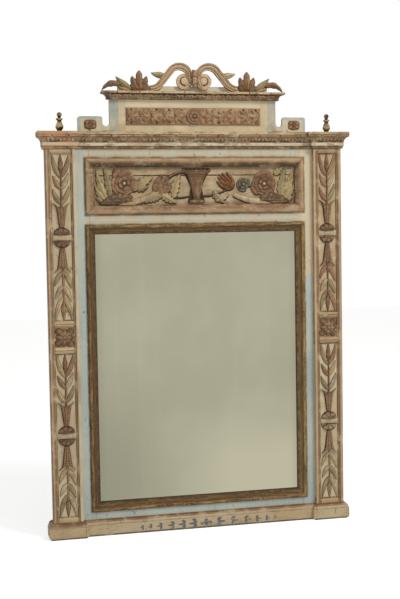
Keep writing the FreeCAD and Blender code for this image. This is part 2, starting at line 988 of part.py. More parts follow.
def attic():
    panel = box(
        (-attic_half, attic_half),
        (attic_face_y, wall_y),
        (attic_bottom, crest_bottom + upstand_height),
    )
    bracket = shoulder()
    nodes = {
        "attic_panel": [panel.multiFuse(both_sides([attic_tenon(0)])).removeSplitter()],
        "attic_carved_band": carved_band(),
        "shoulder_left": [mirrored(bracket)],
        "shoulder_right": [bracket],
        "shoulder_paterae": both_sides([patera()]),
    }
    nodes.update(attic_cornice())
    return nodes


# Section of the scroll's band, with a ridge along its middle
def scroll_section(x):
    half = scroll_band / 2
    side = crest_depth - scroll_bevel
    steps = [(-half, 0), (-half, -side), (0, -crest_depth), (half, -side), (half, 0)]
    return outline([(x + a, b) for a, b in steps], in_plan)


def rim_section(x):
    half = volute_rim / 2
    steps = [(-half, 0), (-half, -volute_rim_depth), (half, -volute_rim_depth), (half, 0)]
    return outline([(x + a, b) for a, b in steps], in_plan)


# Sweeps a section that starts on the right of a centre round that centre, upwards first
def swept(section, turn, start, centre):
    ring = section.revolve(Vector(0, 0, 0), -back, turn)
    return moved(leaned(ring, -start), centre[0], 0, centre[1])


# Middle line of the right-hand scroll's neck: two arcs joined by a straight slope
slope = math.radians(scroll_slope)
top_z = crest_height - scroll_band / 2 - scroll_top_radius
foot_z = scroll_band / 2 + scroll_foot_radius
high_x = scroll_top_place + scroll_top_radius * math.sin(slope)
high_z = top_z + scroll_top_radius * math.cos(slope)
low_z = foot_z - scroll_foot_radius * math.cos(slope)
neck_run = (high_z - low_z) / math.sin(slope)
low_x = high_x + neck_run * math.cos(slope)
foot_x = low_x + scroll_foot_radius * math.sin(slope)


# Right-hand scroll: a neck that rises, arches over and drops into a volute of half circles
def scroll():
    top = (scroll_top_place, top_z)
    neck = scroll_section(0).extrude(up * neck_run)
    pieces = [
        swept(scroll_section(scroll_top_radius), 90 + scroll_slope, 90 - scroll_slope, top),
        swept(scroll_section(scroll_foot_radius), scroll_slope, 270 - scroll_slope, (foot_x, foot_z)),
        moved(leaned(neck, scroll_slope - 90), low_x, 0, low_z),
    ]
    x = top[0] - scroll_top_radius - scroll_band / 2 + volute_rim / 2
    z = top_z - volute_drop
    drop = box((x - volute_rim / 2, x + volute_rim / 2), (-volute_rim_depth, 0), (z, top_z))
    pieces.append(drop)
    radius = volute_radius
    ground = (x + radius, z)
    for i in range(volute_turns):
        side = 1 if i % 2 == 0 else -1
        centre = (x + side * radius, z)
        pieces.append(swept(rim_section(radius), 180, 180 if side == 1 else 0, centre))
        x += side * 2 * radius
        radius -= volute_shrink
    disc = rod(volute_radius, volute_ground, Vector(ground[0], 0, ground[1]), -back)
    eye = moved(eye_face(volute_eye).extrude(back * -volute_rim_depth), x + volute_eye, 0, z)
    sprig = blade(neck_leaf_length, neck_leaf_bulge, neck_leaf_bulge, foliage_edge, foliage_crown)
    sprig_x = high_x + (low_x - high_x) * neck_leaf_place_share
    sprig_z = high_z + (low_z - high_z) * neck_leaf_place_share
    sprig = moved(leaned(sprig, neck_leaf_lean), sprig_x, 0, sprig_z)
    return pieces[0].multiFuse(pieces[1:] + [disc, eye, sprig]).removeSplitter()


# Palmette, spear leaf and end leaf on the right-hand half of the crest
def foliage():
    span = crest_half - foot_x
    lobes = []
    for length, bulge, lean in palmette_shares:
        bulge = bulge * span
        lobes.append(leaned(blade(length * span, bulge, bulge, foliage_edge, foliage_crown), lean))
    palmette = lobes[0].multiFuse(lobes[1:]).removeSplitter()
    palmette = moved(palmette, foot_x + palmette_place_share * span, 0, 0)
    x, length, bulge, lean = spear_shares
    bulge = bulge * span
    spear = blade(length * span, bulge, bulge, foliage_edge, foliage_crown)
    spear = moved(leaned(spear, lean), foot_x + x * span, 0, bulge)
    x, length, over, under, lean = end_leaf_shares
    under = under * span
    end = leaf(length * span, over * span, under, foliage_edge, foliage_crown)
    end = moved(leaned(end, lean), foot_x + x * span, 0, under)
    return [palmette, spear, end]


def crest():
    stand = Vector(0, attic_face_y, crest_bottom)
    curl = scroll().translated(stand)
    leaves = [piece.translated(stand) for piece in foliage()]
    half = tie_width / 2
    top = crest_bottom + crest_height - tie_drop
    front = attic_face_y - crest_depth
    tie = box((-half, half), (front - tie_thickness, front), (top - tie_height, top))
    return {
        "crest_scrolls": both_sides([curl]),
        "crest_tie": [tie],
        "crest_foliage_left": [mirrored(piece) for piece in leaves],
        "crest_foliage_right": leaves,
    }


# Turned swellings of the finial, from their foot to their top, as points on an arc
def swelling(foot, top, peak):
    rise = (peak - foot[0]) / ((top[1] - foot[1]) / 2) ** 2
    middle = (foot[1] + top[1]) / 2
    levels = [foot[1] + (top[1] - foot[1]) * share for share in finial_round_shares]
    return [foot] + [(peak - rise * (z - middle) ** 2, z) for z in levels] + [top]


# Finial: foot, bulb, collar and ball
def finial():
    ball_foot = finial_height - 2 * finial_ball_radius
    bulb_top = finial_foot_height + finial_bulb_height
    collar_z = (bulb_top + ball_foot) / 2
    bulb_foot = (finial_neck_radius, finial_foot_height)
    profile = outline(
        [(0, 0), (finial_foot_radius, 0)]
        + swelling(bulb_foot, (finial_neck_radius, bulb_top), finial_bulb_radius)
        + [(finial_collar_radius, collar_z)]
        + swelling((finial_neck_radius, ball_foot), (0, finial_height), finial_ball_radius),
        facing,
    )
    foot_y = pilaster_face_y - cornice_projection + finial_setback
    return moved(profile.revolve(Vector(0, 0, 0), up, 360), pilaster_x, foot_y, attic_bottom)


plate_foot_z = frame_top - plate_drop - plate_height
pin_y = frame_back_y + eye_offset


# Right-hand plate: fixed to the stile, with a square knuckle along its lower edge
def hanger_plate():
    x = (stile_x - plate_width / 2, stile_x + plate_width / 2)
    plate_y = (frame_back_y, frame_back_y + plate_thickness)
    plate = box(x, plate_y, (plate_foot_z, plate_foot_z + plate_height))
    half = knuckle / 2
    barrel = box(x, (frame_back_y, pin_y + half), (plate_foot_z - half, plate_foot_z + half))
    bore_start = Vector(x[0] - overrun, pin_y, plate_foot_z)
    bore = rod(pin_radius + pin_clearance, plate_width + 2 * overrun, bore_start, right)
    return plate.fuse(barrel).removeSplitter().cut(bore)


# Half of the ring's outline, from its middle line to the side, at one distance from its axis
def ring_side(half, drop, corner):
    return [(half, 0), (half, corner - drop), (half - corner, -drop)]


# Right-hand ring: a bent bar on a pin through the knuckle, hanging down
def hanger_ring():
    inner = plate_width / 2 + ring_side_gap
    outer = inner + ring_wire
    outside = ring_side(outer, ring_drop, ring_corner)
    inside = ring_side(inner, ring_drop - ring_wire, ring_corner - ring_wire / 2)
    corners = outside + [(-x, z) for x, z in reversed(outside)]
    corners += [(-x, z) for x, z in inside] + list(reversed(inside))
    hoop = outline(corners, facing).translated(back * (-ring_depth / 2)).extrude(back * ring_depth)
    crown = box((inner, outer), (-ring_depth / 2, ring_depth / 2), (0, pin_radius))
    pin = rod(pin_radius, 2 * inner, Vector(-inner, 0, 0), right)
    ring = hoop.multiFuse(both_sides([crown]) + [pin]).removeSplitter()
    return moved(ring, stile_x, pin_y, plate_foot_z)


def hangers():
    plate = hanger_plate()
    ring = hanger_ring()
    return {
        "hanger_plates": both_sides([plate]),
        "hanger_ring_left": [mirrored(ring)],
        "hanger_ring_right": [ring],
    }


def build():
    nodes = {}
    for name, board in frame_boards().items():
        nodes[name] = [board]
    for name, piece in plinth().items():
        nodes[name] = [piece]
    nodes.update(pilasters())
    nodes.update(cornice())
    nodes["cornice_cap"] = [cornice_cap()]
    sides = ("bottom", "right", "top", "left")
    for side, bar in zip(sides, picture_frame(frieze_section(), outer_half, frieze_bottom, frieze_top)):
        nodes["frieze_moulding_" + side] = [bar]
    for side, bar in zip(sides, picture_frame(sight_section(), outer_half, sight_bottom, sight_top)):
        nodes["sight_moulding_" + side] = [bar]
    for name, plank in frieze_planks().items():
        nodes[name] = [plank]
    nodes.update(frieze_carving())
    nodes.update(mirror_plate())
    nodes["back_batten"] = [batten()]
    nodes.update(attic())
    nodes.update(crest())
    nodes["finials"] = both_sides([finial()])
    nodes.update(hangers())
    return nodes


os.makedirs("parts", exist_ok=True)
for node, pieces in build().items():
    Part.makeCompound(pieces).exportStep("parts/" + node + ".step")
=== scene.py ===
import bpy
import bmesh
from math import atan2, cos, exp, pi, radians, sin, sqrt
import numpy as np
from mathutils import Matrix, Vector


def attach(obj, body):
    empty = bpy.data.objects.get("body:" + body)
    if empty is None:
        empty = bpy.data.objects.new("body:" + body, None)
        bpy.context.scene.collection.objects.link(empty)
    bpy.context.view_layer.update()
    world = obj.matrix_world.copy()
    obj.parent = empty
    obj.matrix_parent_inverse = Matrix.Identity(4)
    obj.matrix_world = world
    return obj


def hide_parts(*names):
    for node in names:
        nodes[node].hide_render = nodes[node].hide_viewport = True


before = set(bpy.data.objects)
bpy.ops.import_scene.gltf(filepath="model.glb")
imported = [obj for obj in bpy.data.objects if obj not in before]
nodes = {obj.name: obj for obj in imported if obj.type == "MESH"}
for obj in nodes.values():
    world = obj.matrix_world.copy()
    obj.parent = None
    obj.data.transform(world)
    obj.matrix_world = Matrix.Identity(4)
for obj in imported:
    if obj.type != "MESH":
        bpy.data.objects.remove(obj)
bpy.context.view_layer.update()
mm = 0.001
pilasterAcross, panelLevels = 436.75, {"upper": 952.0, "lower": 328.0}  # millimetres
hands = {"left": -1, "right": 1}
print("frame loaded:", len(nodes), "nodes")

# colours as they are written into the shaders, linear
colours = {
    "ivory": (0.57, 0.47, 0.31),
    "ivoryPale": (0.66, 0.57, 0.40),
    "ochre": (0.50, 0.37, 0.22),
    "blue": (0.42, 0.485, 0.46),
    "bluePale": (0.52, 0.57, 0.51),
    "terracotta": (0.31, 0.175, 0.095),
    "tan": (0.42, 0.285, 0.16),
    "mauve": (0.222, 0.122, 0.066),
    "brown": (0.12, 0.072, 0.038),
    # darkest tone: dirt, and also painted shade and painted shadows on the carving and mouldings
    "grimeAndShade": (0.055, 0.032, 0.018),
    "olive": (0.34, 0.28, 0.145),
    "yellow": (0.50, 0.39, 0.20),
    "orange": (0.20, 0.066, 0.020),
    "teal": (0.17, 0.185, 0.118),
    "wood": (0.27, 0.17, 0.09),
    "gold": (0.46, 0.31, 0.12),
    "clay": (0.37, 0.225, 0.125),
    "buff": (0.60, 0.445, 0.265),
    "ivoryBright": (0.78, 0.655, 0.45),
    "umber": (0.165, 0.092, 0.04),
    "shell": (0.67, 0.50, 0.335),
    "rose": (0.315, 0.175, 0.100),
    "brick": (0.56, 0.29, 0.15),
    "husk": (0.325, 0.19, 0.10),
}


# node trees for the finishes
class Shade:
    def __init__(self, name):
        self.mat = bpy.data.materials.new(name)
        self.mat.use_nodes = True
        self.tree = self.mat.node_tree
        self.bsdf = self.tree.nodes["Principled BSDF"]
        self.bsdf.inputs["Specular IOR Level"].default_value = 0.36  # old matt paint
        self.place = self.add("ShaderNodeTexCoord").outputs["Object"]
        parts = self.add("ShaderNodeSeparateXYZ")
        self.link(self.place, parts.inputs[0])
        self.x, self.y, self.z = parts.outputs

    def add(self, kind, **values):
        node = self.tree.nodes.new(kind)
        for key, value in values.items():
            setattr(node, key, value)
        return node

    # a value is another node's output, a number, or a colour by its name or its parts
    def link(self, value, socket):
        if isinstance(value, str):
            value = colours[value]
        if hasattr(value, "is_linked"):
            self.tree.links.new(value, socket)
        elif isinstance(value, tuple) and len(value) == 3 and socket.type == "RGBA":
            socket.default_value = (*value, 1)
        else:
            socket.default_value = value

    def node(self, kind, sockets, **values):
        node = self.add(kind, **values)
        for key, value in sockets.items():
            self.link(value, node.inputs[key])
        return node

    def noise(self, scale, detail=4, rough=0.55, stretch=(1, 1, 1)):
        spot = self.node("ShaderNodeMapping", {"Vector": self.place, "Scale": stretch}).outputs[0]
        sockets = {"Vector": spot, "Scale": scale, "Detail": detail, "Roughness": rough}
        return self.node("ShaderNodeTexNoise", sockets).outputs["Fac"]

    def cells(self, scale):
        return self.node("ShaderNodeTexVoronoi", {"Vector": self.place, "Scale": scale}).outputs["Distance"]

    def ramp(self, value, low, high, start=0.0, end=1.0):
        sockets = dict(enumerate((value, low, high, start, end)))
        return self.node("ShaderNodeMapRange", sockets, interpolation_type="SMOOTHSTEP").outputs[0]

    def math(self, kind, a, b=0.0):
        return self.node("ShaderNodeMath", {0: a, 1: b}, operation=kind).outputs[0]

    def times(self, a, b):
        return self.math("MULTIPLY", a, b)

    def less(self, a, b):
        return self.math("SUBTRACT", a, b)

    def most(self, a, b):
        return self.math("MAXIMUM", a, b)

    def away(self, a, middle=0.0):
        return self.math("ABSOLUTE", self.less(a, middle) if middle else a)

    def within(self, value, low, high, soft):
        rise = self.ramp(value, low - soft, low + soft)
        return self.times(rise, self.ramp(value, high - soft, high + soft, 1.0, 0.0))

    def mix(self, factor, a, b):
        return self.node("ShaderNodeMix", {"Factor": factor, 6: a, 7: b}, data_type="RGBA").outputs[2]

    def attribute(self, name, output="Fac"):
        return self.add("ShaderNodeAttribute", attribute_name=name).outputs[output]

    def bump(self, height, strength, distance):
        node = self.node("ShaderNodeBump", {"Height": height, "Strength": strength, "Distance": distance})
        self.link(node.outputs[0], self.bsdf.inputs["Normal"])

    # lays a tone over the colour so far
    def lay(self, share, tone):
        self.colour = self.mix(share, self.colour, tone)

    def finish(self, roughness):
        self.link(self.colour, self.bsdf.inputs["Base Color"])
        self.link(roughness, self.bsdf.inputs["Roughness"])
        return self.mat


def woodColour(s, grain=(1, 1, 0.06)):
    rings = s.noise(30, 7, 0.6, grain)
    colour = s.mix(s.ramp(rings, 0.35, 0.68), (0.19, 0.115, 0.06), (0.36, 0.24, 0.135))
    return s.mix(s.ramp(s.noise(5, 6), 0.52, 0.75, 0.0, 0.6), colour, "grimeAndShade"), rings


# dark and pale patches where the paint is worn through to its ground
def mottle(s, amount):
    s.lay(s.ramp(s.noise(42, 7, 0.75, (0.45, 1, 1)), 0.50, 0.60, 0.0, amount), "umber")
    s.lay(s.ramp(s.noise(57, 7, 0.75, (0.35, 1, 1)), 0.53, 0.62, 0.0, 0.75 * amount), "ivoryPale")


# bare wood from a given depth backwards
def bareBack(s, depth, grain=(1, 1, 0.06)):
    s.lay(s.ramp(s.y, depth, depth + 0.0004), woodColour(s, grain)[0])


paintWear = {"chipSize": 55, "chipShare": 0.63, "speckSize": 95, "speckShare": 0.055, "edge": 0.05,
             "drift": 5.5}


# old paint on wood: drifting colour, rubbed chips, dark specks and a fine crackle
def agedPaint(name, base, drift, zones, grain=(1, 1, 0.12), chip="wood", chipMore=0.0, darkening=0.35,
              mottled=0.0, bare=0.0362, late=()):
    s, wear = Shade(name), paintWear
    s.colour = s.mix(s.ramp(s.noise(wear["drift"]), 0.38, 0.66), base, drift)
    for zone, tone, strength in zones:
        patch = s.ramp(s.noise(26, 5), 0.25, 0.6)
        s.lay(s.times(zone(s), s.times(patch, strength)), tone)
    s.lay(s.ramp(s.noise(38, 6, 0.65, grain), 0.50, 0.80, 0.0, darkening), "brown")
    s.lay(s.ramp(s.noise(13, 8, 0.7), 0.56, 0.80, 0.0, darkening), "grimeAndShade")
    if mottled:
        mottle(s, mottled)
    for zone, tone, strength in late:
        s.lay(s.times(zone(s), s.ramp(s.noise(34, 6), 0.30, 0.62, 0.0, strength)), tone)
    share, edge = wear["chipShare"] - chipMore, wear["edge"]
    chips = s.ramp(s.noise(wear["chipSize"], 5, 0.6), share, share + edge, 0.0, 0.75)
    s.lay(chips, chip)
    share = wear["speckShare"]
    specks = s.ramp(s.cells(wear["speckSize"]), share, share + edge, 0.8, 0.0)
    s.lay(specks, "grimeAndShade")
    bareBack(s, bare, grain)
    s.bump(s.less(s.times(s.noise(420, 3), 0.35), s.math("ADD", chips, specks)), 0.35, 0.0012)
    return s.finish(s.ramp(s.noise(60, 4), 0.3, 0.7, 0.52, 0.78))


# paint on the carving, with each form's own colour, dirt and painted shade in its hollows, and rubbed paint
# with a painted highlight on its high places
def carvedPaint(name, rubbed, bright="tan", bare=None, deep="grimeAndShade", mottled=0.0):
    s = Shade(name)
    s.colour, rise = s.attribute("paint", "Color"), s.attribute("rise")
    s.lay(s.ramp(s.noise(40, 5), 0.42, 0.72, 0.0, 0.5), rubbed)
    s.lay(s.ramp(s.noise(170, 6, 0.7), 0.50, 0.68, 0.0, 0.55), "brown")
    # low rise (hollows, thin edges, feet) takes the deep tone: dirt and painted shade
    hollow = s.math("ADD", rise, s.times(s.noise(110, 4), 0.45))
    s.lay(s.ramp(hollow, 0.36, 0.86, 0.95, 0.0), deep)
    # high rise takes the bright tone: rubbed paint and a painted highlight
    s.lay(s.times(s.ramp(rise, 0.76, 0.98), s.ramp(s.noise(75, 5), 0.42, 0.62, 0.0, 0.5)), bright)
    if mottled:
        mottle(s, mottled)
    if bare:
        bareBack(s, bare)
    s.bump(s.noise(240, 6, 0.65), 0.55, 0.0014)
    return s.finish(s.ramp(s.noise(80), 0.3, 0.7, 0.52, 0.76))


# places on the boards, read from the object's own coordinates in metres
friezeOpening = (0.331, 1.111, 0.060)  # half width, middle level and half height
sightOpening = (0.331, 0.5335, 0.4265)


# how far a place lies outside an opening, across and up
def outside(s, opening):
    halfWide, middle, halfTall = opening
    return s.less(s.away(s.x), halfWide), s.less(s.away(s.z, middle), halfTall)


def nearerPanel(s):
    return s.math("MINIMUM", *(s.away(s.z, level * mm) for level in panelLevels.values()))


# zones between two values of a measure, with soft edges
def zoneOf(measure, usual=0.001):
    return lambda low, high, soft=usual: lambda s: s.within(measure(s), low, high, soft)


between = zoneOf(lambda s: s.z)
aside = zoneOf(lambda s: s.away(s.x), 0.002)
fromPilaster = zoneOf(lambda s: s.away(s.away(s.x), pilasterAcross * mm), 0.0015)
panelEnds = zoneOf(nearerPanel, 0.003)
inFrieze = zoneOf(lambda s: s.most(*outside(s, friezeOpening)))
inSight = zoneOf(lambda s: s.most(*outside(s, sightOpening)))


def above(level, soft=0.001):
    return lambda s: s.ramp(s.z, level - soft, level + soft)


def rightward(start):
    return lambda s: s.ramp(s.x, start, start + 0.02)


def leftward(start, soft=0.02):
    return lambda s: s.ramp(s.x, start - soft, start, 1.0, 0.0)


# the mitre lines that run outwards from an opening's corners
def mitres(opening, soft=0.0005):
    return lambda s: s.ramp(s.away(s.less(*outside(s, opening))), soft, 2 * soft, 1.0, 0.0)


def both(first, second):
    return lambda s: s.times(first(s), second(s))


alongX = (0.12, 1, 1)  # streaks that run across the front
finishes = {
    "borders": agedPaint("paleBlueBorders", "bluePale", "blue", [
        (both(aside(0, 0.358), above(0.5)), "ivory", 1.2),
        *((both(aside(0, 0.358), between(low, high, 0.003)), "bluePale", 0.9)
          for low, high in ((1.2110, 1.2165), (1.0020, 1.0085))),
        (both(rightward(0.34), above(0.82, 0.006)), "ivoryPale", 12.0),
        (both(aside(0.35, 0.5), above(1.10, 0.05)), "ivoryPale", 0.35),
        *((zone(0.0295, 0.0335, 0.0015), "brown", 0.7) for zone in (inSight, inFrieze)),
        (aside(0.3463, 0.3477, 0.0005), "brown", 0.75), (aside(0.4836, 0.6, 0.0008), "wood", 4.0),
    ], darkening=0.2, bare=0.0242),
    "boards": agedPaint("ivoryPanels", "ivory", "ivoryPale", [
        (fromPilaster(0.0, 0.03, 0.01), "ochre", 0.3),
        (both(rightward(0.3), above(0.64, 0.01)), "tan", 0.8),
        (fromPilaster(0.0292, 0.034, 0.0015), "umber", 1.2),
        (panelEnds(0.2565, 0.270), "brown", 1.0),
        (between(0.600, 0.680), "umber", 0.75),
        (both(fromPilaster(0.044, 0.060), aside(0.45, 0.6)), "brown", 0.8),
    ], darkening=0.34),
    "strips": agedPaint("tanStrips", "buff", "ochre", [
        (rightward(0.3), "tan", 0.8),
        (both(leftward(-0.3), aside(0.4740, 0.4900, 0.0015)), "clay", 0.9),
        (fromPilaster(0.0365, 0.0405, 0.001), "terracotta", 1.5),
        (fromPilaster(0.0415, 0.0445, 0.0012), "ivory", 0.55),
        (both(leftward(-0.3), aside(0.3880, 0.3990, 0.0015)), "ivoryPale", 0.8),
        (fromPilaster(0.0338, 0.0362, 0.0006), "umber", 2.0),
        (fromPilaster(0.030, 0.0322, 0.0006), "umber", 1.4),
        *((both(fromPilaster(0, 0.031), between(low, low + 0.002, 0.0005)), "umber", 1.6)
          for low in (0.5972, 0.6808)),
        (both(fromPilaster(0.0458, 0.060, 0.0006), aside(0.45, 0.6)), "umber", 1.5),
    ], chip="ivory", darkening=0.5),
    "plinth": agedPaint("plinthPaint", "ivory", "ochre", [
        (between(0.0445, 0.060, 0.0008), "terracotta", 1.2),
        (between(0.0495, 0.060, 0.0008), "umber", 1.2),
        (both(leftward(-0.38), between(0.0400, 0.060, 0.001)), "umber", 0.75),
        # the second zone here, a brown band along the very foot, is painted shade where the plinth meets the
        # floor
        (between(0.036, 0.0392, 0.0006), "brown", 0.3), (between(-0.01, 0.0062, 0.0015), "brown", 1.7),
        (aside(0.3835, 0.3860, 0.0006), "brown", 0.9), (aside(0.4995, 0.52, 0.001), "brown", 0.9),
        (both(aside(0.3, 0.6, 0.05), between(0.004, 0.036)), "yellow", 0.45),
    ], (0.3, 1, 1), darkening=0.34, mottled=0.22),
    "cornice": agedPaint("corniceMottle", "tan", "ochre", [
        (between(1.2365, 1.2475), "ivoryPale", 1.3),
        # the brown across the lower part of the cove is partly paint and partly painted shade
        (between(1.2485, 1.2560, 0.002), "brown", 1.1),
        (between(1.2560, 1.2645, 0.002), "terracotta", 0.6),
        (between(1.220, 1.2355), "brown", 0.9),
        (between(1.2472, 1.2498, 0.0006), "brown", 2.5), (between(1.2348, 1.2368, 0.0005), "brown", 2.5),
        (between(1.2645, 1.2662, 0.0005), "brown", 2.0),
    ], alongX, chip="ochre", chipMore=0.04, darkening=0.6, mottled=0.7, late=[
        (leftward(-0.368), "brick", 0.8),
        (both(leftward(-0.368), between(1.2375, 1.2470)), "ivoryPale", 0.7),
        # painted shadow of the left break-front on the centre run beside it
        (both(leftward(-0.345), aside(0.344, 0.364, 0.003)), "umber", 0.8),
    ]),
    "cap": agedPaint("capPaint", "buff", "ochre", [
        (between(1.2685, 1.2722, 0.0006), "brown", 2.0),
    ], alongX, chip="ivory", darkening=0.45, mottled=0.6, late=[(leftward(-0.362), "brick", 0.9)]),
    "attic": agedPaint("atticPaint", "ivoryPale", "ivoryBright", [
        (between(1.27, 1.308, 0.004), "olive", 0.34), (aside(0.2215, 0.26), "ochre", 0.42),
        (above(1.41), "bluePale", 0.6),
    ], alongX, chipMore=-0.08, darkening=0.18),
    "shoulders": agedPaint("shoulderPaint", "ivoryPale", "ivory", [
        (aside(0.27, 0.6), "bluePale", 0.35), (aside(0.243, 0.275), "blue", 0.95),
        (aside(0.243, 0.275), "olive", 0.22), (both(rightward(0.2), aside(0.243, 0.275)), "ochre", 0.3),
        (aside(0.367, 0.4, 0.004), "blue", 0.9),
        (both(aside(0.29, 0.4), between(1.3250, 1.35, 0.003)), "blue", 0.9),
        (both(aside(0.262, 0.30, 0.006), between(1.27, 1.2860, 0.003)), "brown", 1.3),
    ], darkening=0.4),
    "atticCornice": agedPaint("atticCorniceMottle", "tan", "ochre", [
        (between(1.384, 1.3872, 0.0006), "brown", 2.0), (between(1.3905, 1.3985), "terracotta", 1.2),
        (between(1.3985, 1.4035), "umber", 1.6), (above(1.4038), "buff", 1.0),
        (leftward(-0.262, 0.023), "grimeAndShade", 1.2),
    ], alongX, chip="ochre", chipMore=0.05, darkening=0.6, mottled=0.85),
    "friezeBars": agedPaint("friezeBars", "tan", "clay", [
        # the inner slope is mauve along the bottom bar but darker umber on the side and top bars as painted
        # shade; under the top bar lies deeper painted shade, and a painted dark line runs along the opening's
        # edge
        (both(inFrieze(0.0045, 0.0145, 0.004), between(0.9, 1.056)), "mauve", 0.8),
        (both(inFrieze(0.0045, 0.0145, 0.004), above(1.06)), "umber", 0.6),
        (both(inFrieze(-0.01, 0.0145, 0.006), above(1.165)), "brown", 1.0),
        (inFrieze(-0.01, 0.0032, 0.0012), "grimeAndShade", 1.0),
        (inFrieze(0.0205, 0.0255, 0.0015), "ochre", 0.7),
        (inFrieze(0.0262, 0.032, 0.0008), "mauve", 0.9),
    ], (0.3, 1, 0.3), chip="ochre", darkening=0.6, mottled=0.42, late=[(mitres(friezeOpening), "grimeAndShade", 1.6)]),
    "friezeGround": agedPaint("friezeGround", "ivory", "olive", [
        # painted shade darkens the ground along its edges, under the moulding
        (inFrieze(-0.010, 0.02, 0.006), "umber", 0.95),
        (between(1.04, 1.19), "tan", 0.6),
        (between(1.1428, 1.1462, 0.0006), "grimeAndShade", 3.0),
    ], alongX, darkening=0.7, mottled=0.4, bare=0.0125),
    "carving": carvedPaint("carvedPaint", "brown"),
    "crest": carvedPaint("crestPaint", "buff", "ivoryPale", 0.0222, deep="umber"),
    "foliage": carvedPaint("foliagePaint", "brown", "tan", 0.0222),
    "corniceLeaves": carvedPaint("corniceLeafPaint", "tan", "ochre", deep="umber", mottled=0.6),
    "band": carvedPaint("bandPaint", "mauve", "buff", mottled=0.28),
}


# worn gilding over a brown ground, with painted light and shade on its bars
def wornGilding():
    s = Shade("wornGilding")
    ground = (0.085, 0.043, 0.017)
    wide, tall = outside(s, sightOpening)
    lying = s.ramp(s.less(tall, wide), -0.0005, 0.0005)
    upright, level = (s.noise(150, 7, 0.72, stretch) for stretch in ((1, 1, 0.11), (0.11, 1, 1)))
    streaks = s.node("ShaderNodeMix", {0: lying, 2: upright, 3: level}, data_type="FLOAT").outputs[0]
    worn = s.ramp(streaks, 0.38, 0.64)
    s.colour = s.mix(worn, ground, (0.40, 0.24, 0.092))
    cove = inSight(-0.002, 0.0175, 0.002)(s)
    s.lay(s.times(cove, 0.72), (0.105, 0.062, 0.023))
    flecks = s.ramp(s.noise(190, 4, 0.7), 0.57, 0.66, 0.0, 0.85)
    s.lay(s.times(flecks, s.ramp(cove, 0.0, 1.0, 1.0, 0.4)), (0.54, 0.40, 0.20))
    # painted light and shade: the right bar and the top bar lighter, the left bar darker
    bright = s.most(s.ramp(s.x, 0.325, 0.335, 0.0, 0.16), s.ramp(s.z, 0.952, 0.962, 0.0, 0.12))
    s.lay(bright, (0.42, 0.29, 0.105))
    s.lay(s.ramp(s.x, -0.335, -0.325, 0.3, 0.0), ground)
    # painted shade: a ragged dark band and a dark line along the inner edge by the glass; two more dark lines
    # lie further out
    ragged = s.ramp(s.noise(75, 5, 0.65), 0.44, 0.58, 0.0, 0.75)
    s.lay(s.times(inSight(-0.004, 0.0085, 0.002)(s), ragged), "grimeAndShade")
    for low, high in ((-0.004, 0.0030), (0.0178, 0.0195), (0.0285, 0.0320)):
        s.lay(s.times(inSight(low, high, 0.0007)(s), 0.8), "grimeAndShade")
    s.link(s.times(worn, 0.35), s.bsdf.inputs["Metallic"])
    s.bump(s.math("ADD", s.noise(150, 5), s.times(worn, 0.6)), 0.45, 0.0012)
    return s.finish(s.ramp(worn, 0.0, 1.0, 0.72, 0.42))


# old silvered plate, a little clouded towards its edges, with a painted reflection: darker to the lower left,
# lighter to the lower right
def oldMirror():
    s = Shade("oldMirror")
    s.colour = s.mix(s.ramp(s.noise(3.2, 3), 0.35, 0.7), (0.398, 0.382, 0.277), (0.442, 0.425, 0.312))
    # painted reflection of the room: darker to the lower left, lighter to the lower right
    paintedDarkReflection = s.times(s.ramp(s.z, 0.15, 0.70, 1.0, 0.0), s.ramp(s.x, -0.30, -0.03, 1.0, 0.0))
    s.lay(paintedDarkReflection, (0.318, 0.304, 0.218))
    paintedBrightReflection = s.times(s.ramp(s.z, 0.20, 0.42, 1.0, 0.0), s.ramp(s.x, -0.12, 0.15))
    s.lay(paintedBrightReflection, (0.51, 0.488, 0.352))
    streaks = s.ramp(s.noise(14, 4, 0.6, (1, 1, 0.06)), 0.54, 0.74, 0.0, 0.09)
    s.lay(streaks, (0.53, 0.51, 0.38))
    fox = s.times(s.ramp(s.cells(34), 0.02, 0.05, 0.35, 0.0), s.ramp(s.noise(6), 0.5, 0.6))
    s.lay(s.most(fox, s.ramp(s.away(s.x), 0.30, 0.34, 0.0, 0.28)), (0.20, 0.19, 0.12))
    s.link(1.0, s.bsdf.inputs["Metallic"])
    return s.finish(s.ramp(s.noise(9), 0.3, 0.7, 0.03, 0.07))


def bareWood():
    s = Shade("bareWood")
    s.colour, rings = woodColour(s)
    seam = s.within(s.away(s.x), 0.1215, 0.1235, 0.0005)
    s.lay(s.times(seam, 0.9), "grimeAndShade")
    s.bump(rings, 0.4, 0.0015)
    return s.finish(s.ramp(rings, 0.3, 0.7, 0.7, 0.88))


def metal(name, bright, dark, roughness, hollows=False):
    s = Shade(name)
    tarnish = s.ramp(s.noise(70, 5), 0.40, 0.66)
    if hollows:  # tarnish and painted shade stay in the turned hollows
        tarnish = s.most(tarnish, s.ramp(s.attribute("rise"), 0.25, 0.95, 1.0, 0.0))
    s.colour = s.mix(tarnish, bright, dark)
    s.link(1.0, s.bsdf.inputs["Metallic"])
    s.bump(s.noise(260, 4), 0.2, 0.0006)
    return s.finish(s.ramp(tarnish, 0.0, 1.0, roughness, roughness + 0.22))


def brushPaint():
    s = Shade("brushedBlue")
    s.colour = s.mix(s.ramp(s.noise(90, 5), 0.52, 0.70), (0.145, 0.16, 0.155), "ivory")
    return s.finish(s.ramp(s.noise(60), 0.3, 0.7, 0.6, 0.8))


finishes |= {
    "gilding": wornGilding(), "mirror": oldMirror(), "wood": bareWood(), "brush": brushPaint(),
    "brass": metal("dullBrass", (0.44, 0.32, 0.165), (0.06, 0.04, 0.02), 0.36, True),
    "iron": metal("forgedIron", (0.12, 0.11, 0.10), (0.05, 0.04, 0.035), 0.5),
}
print("finishes made:", len(finishes))

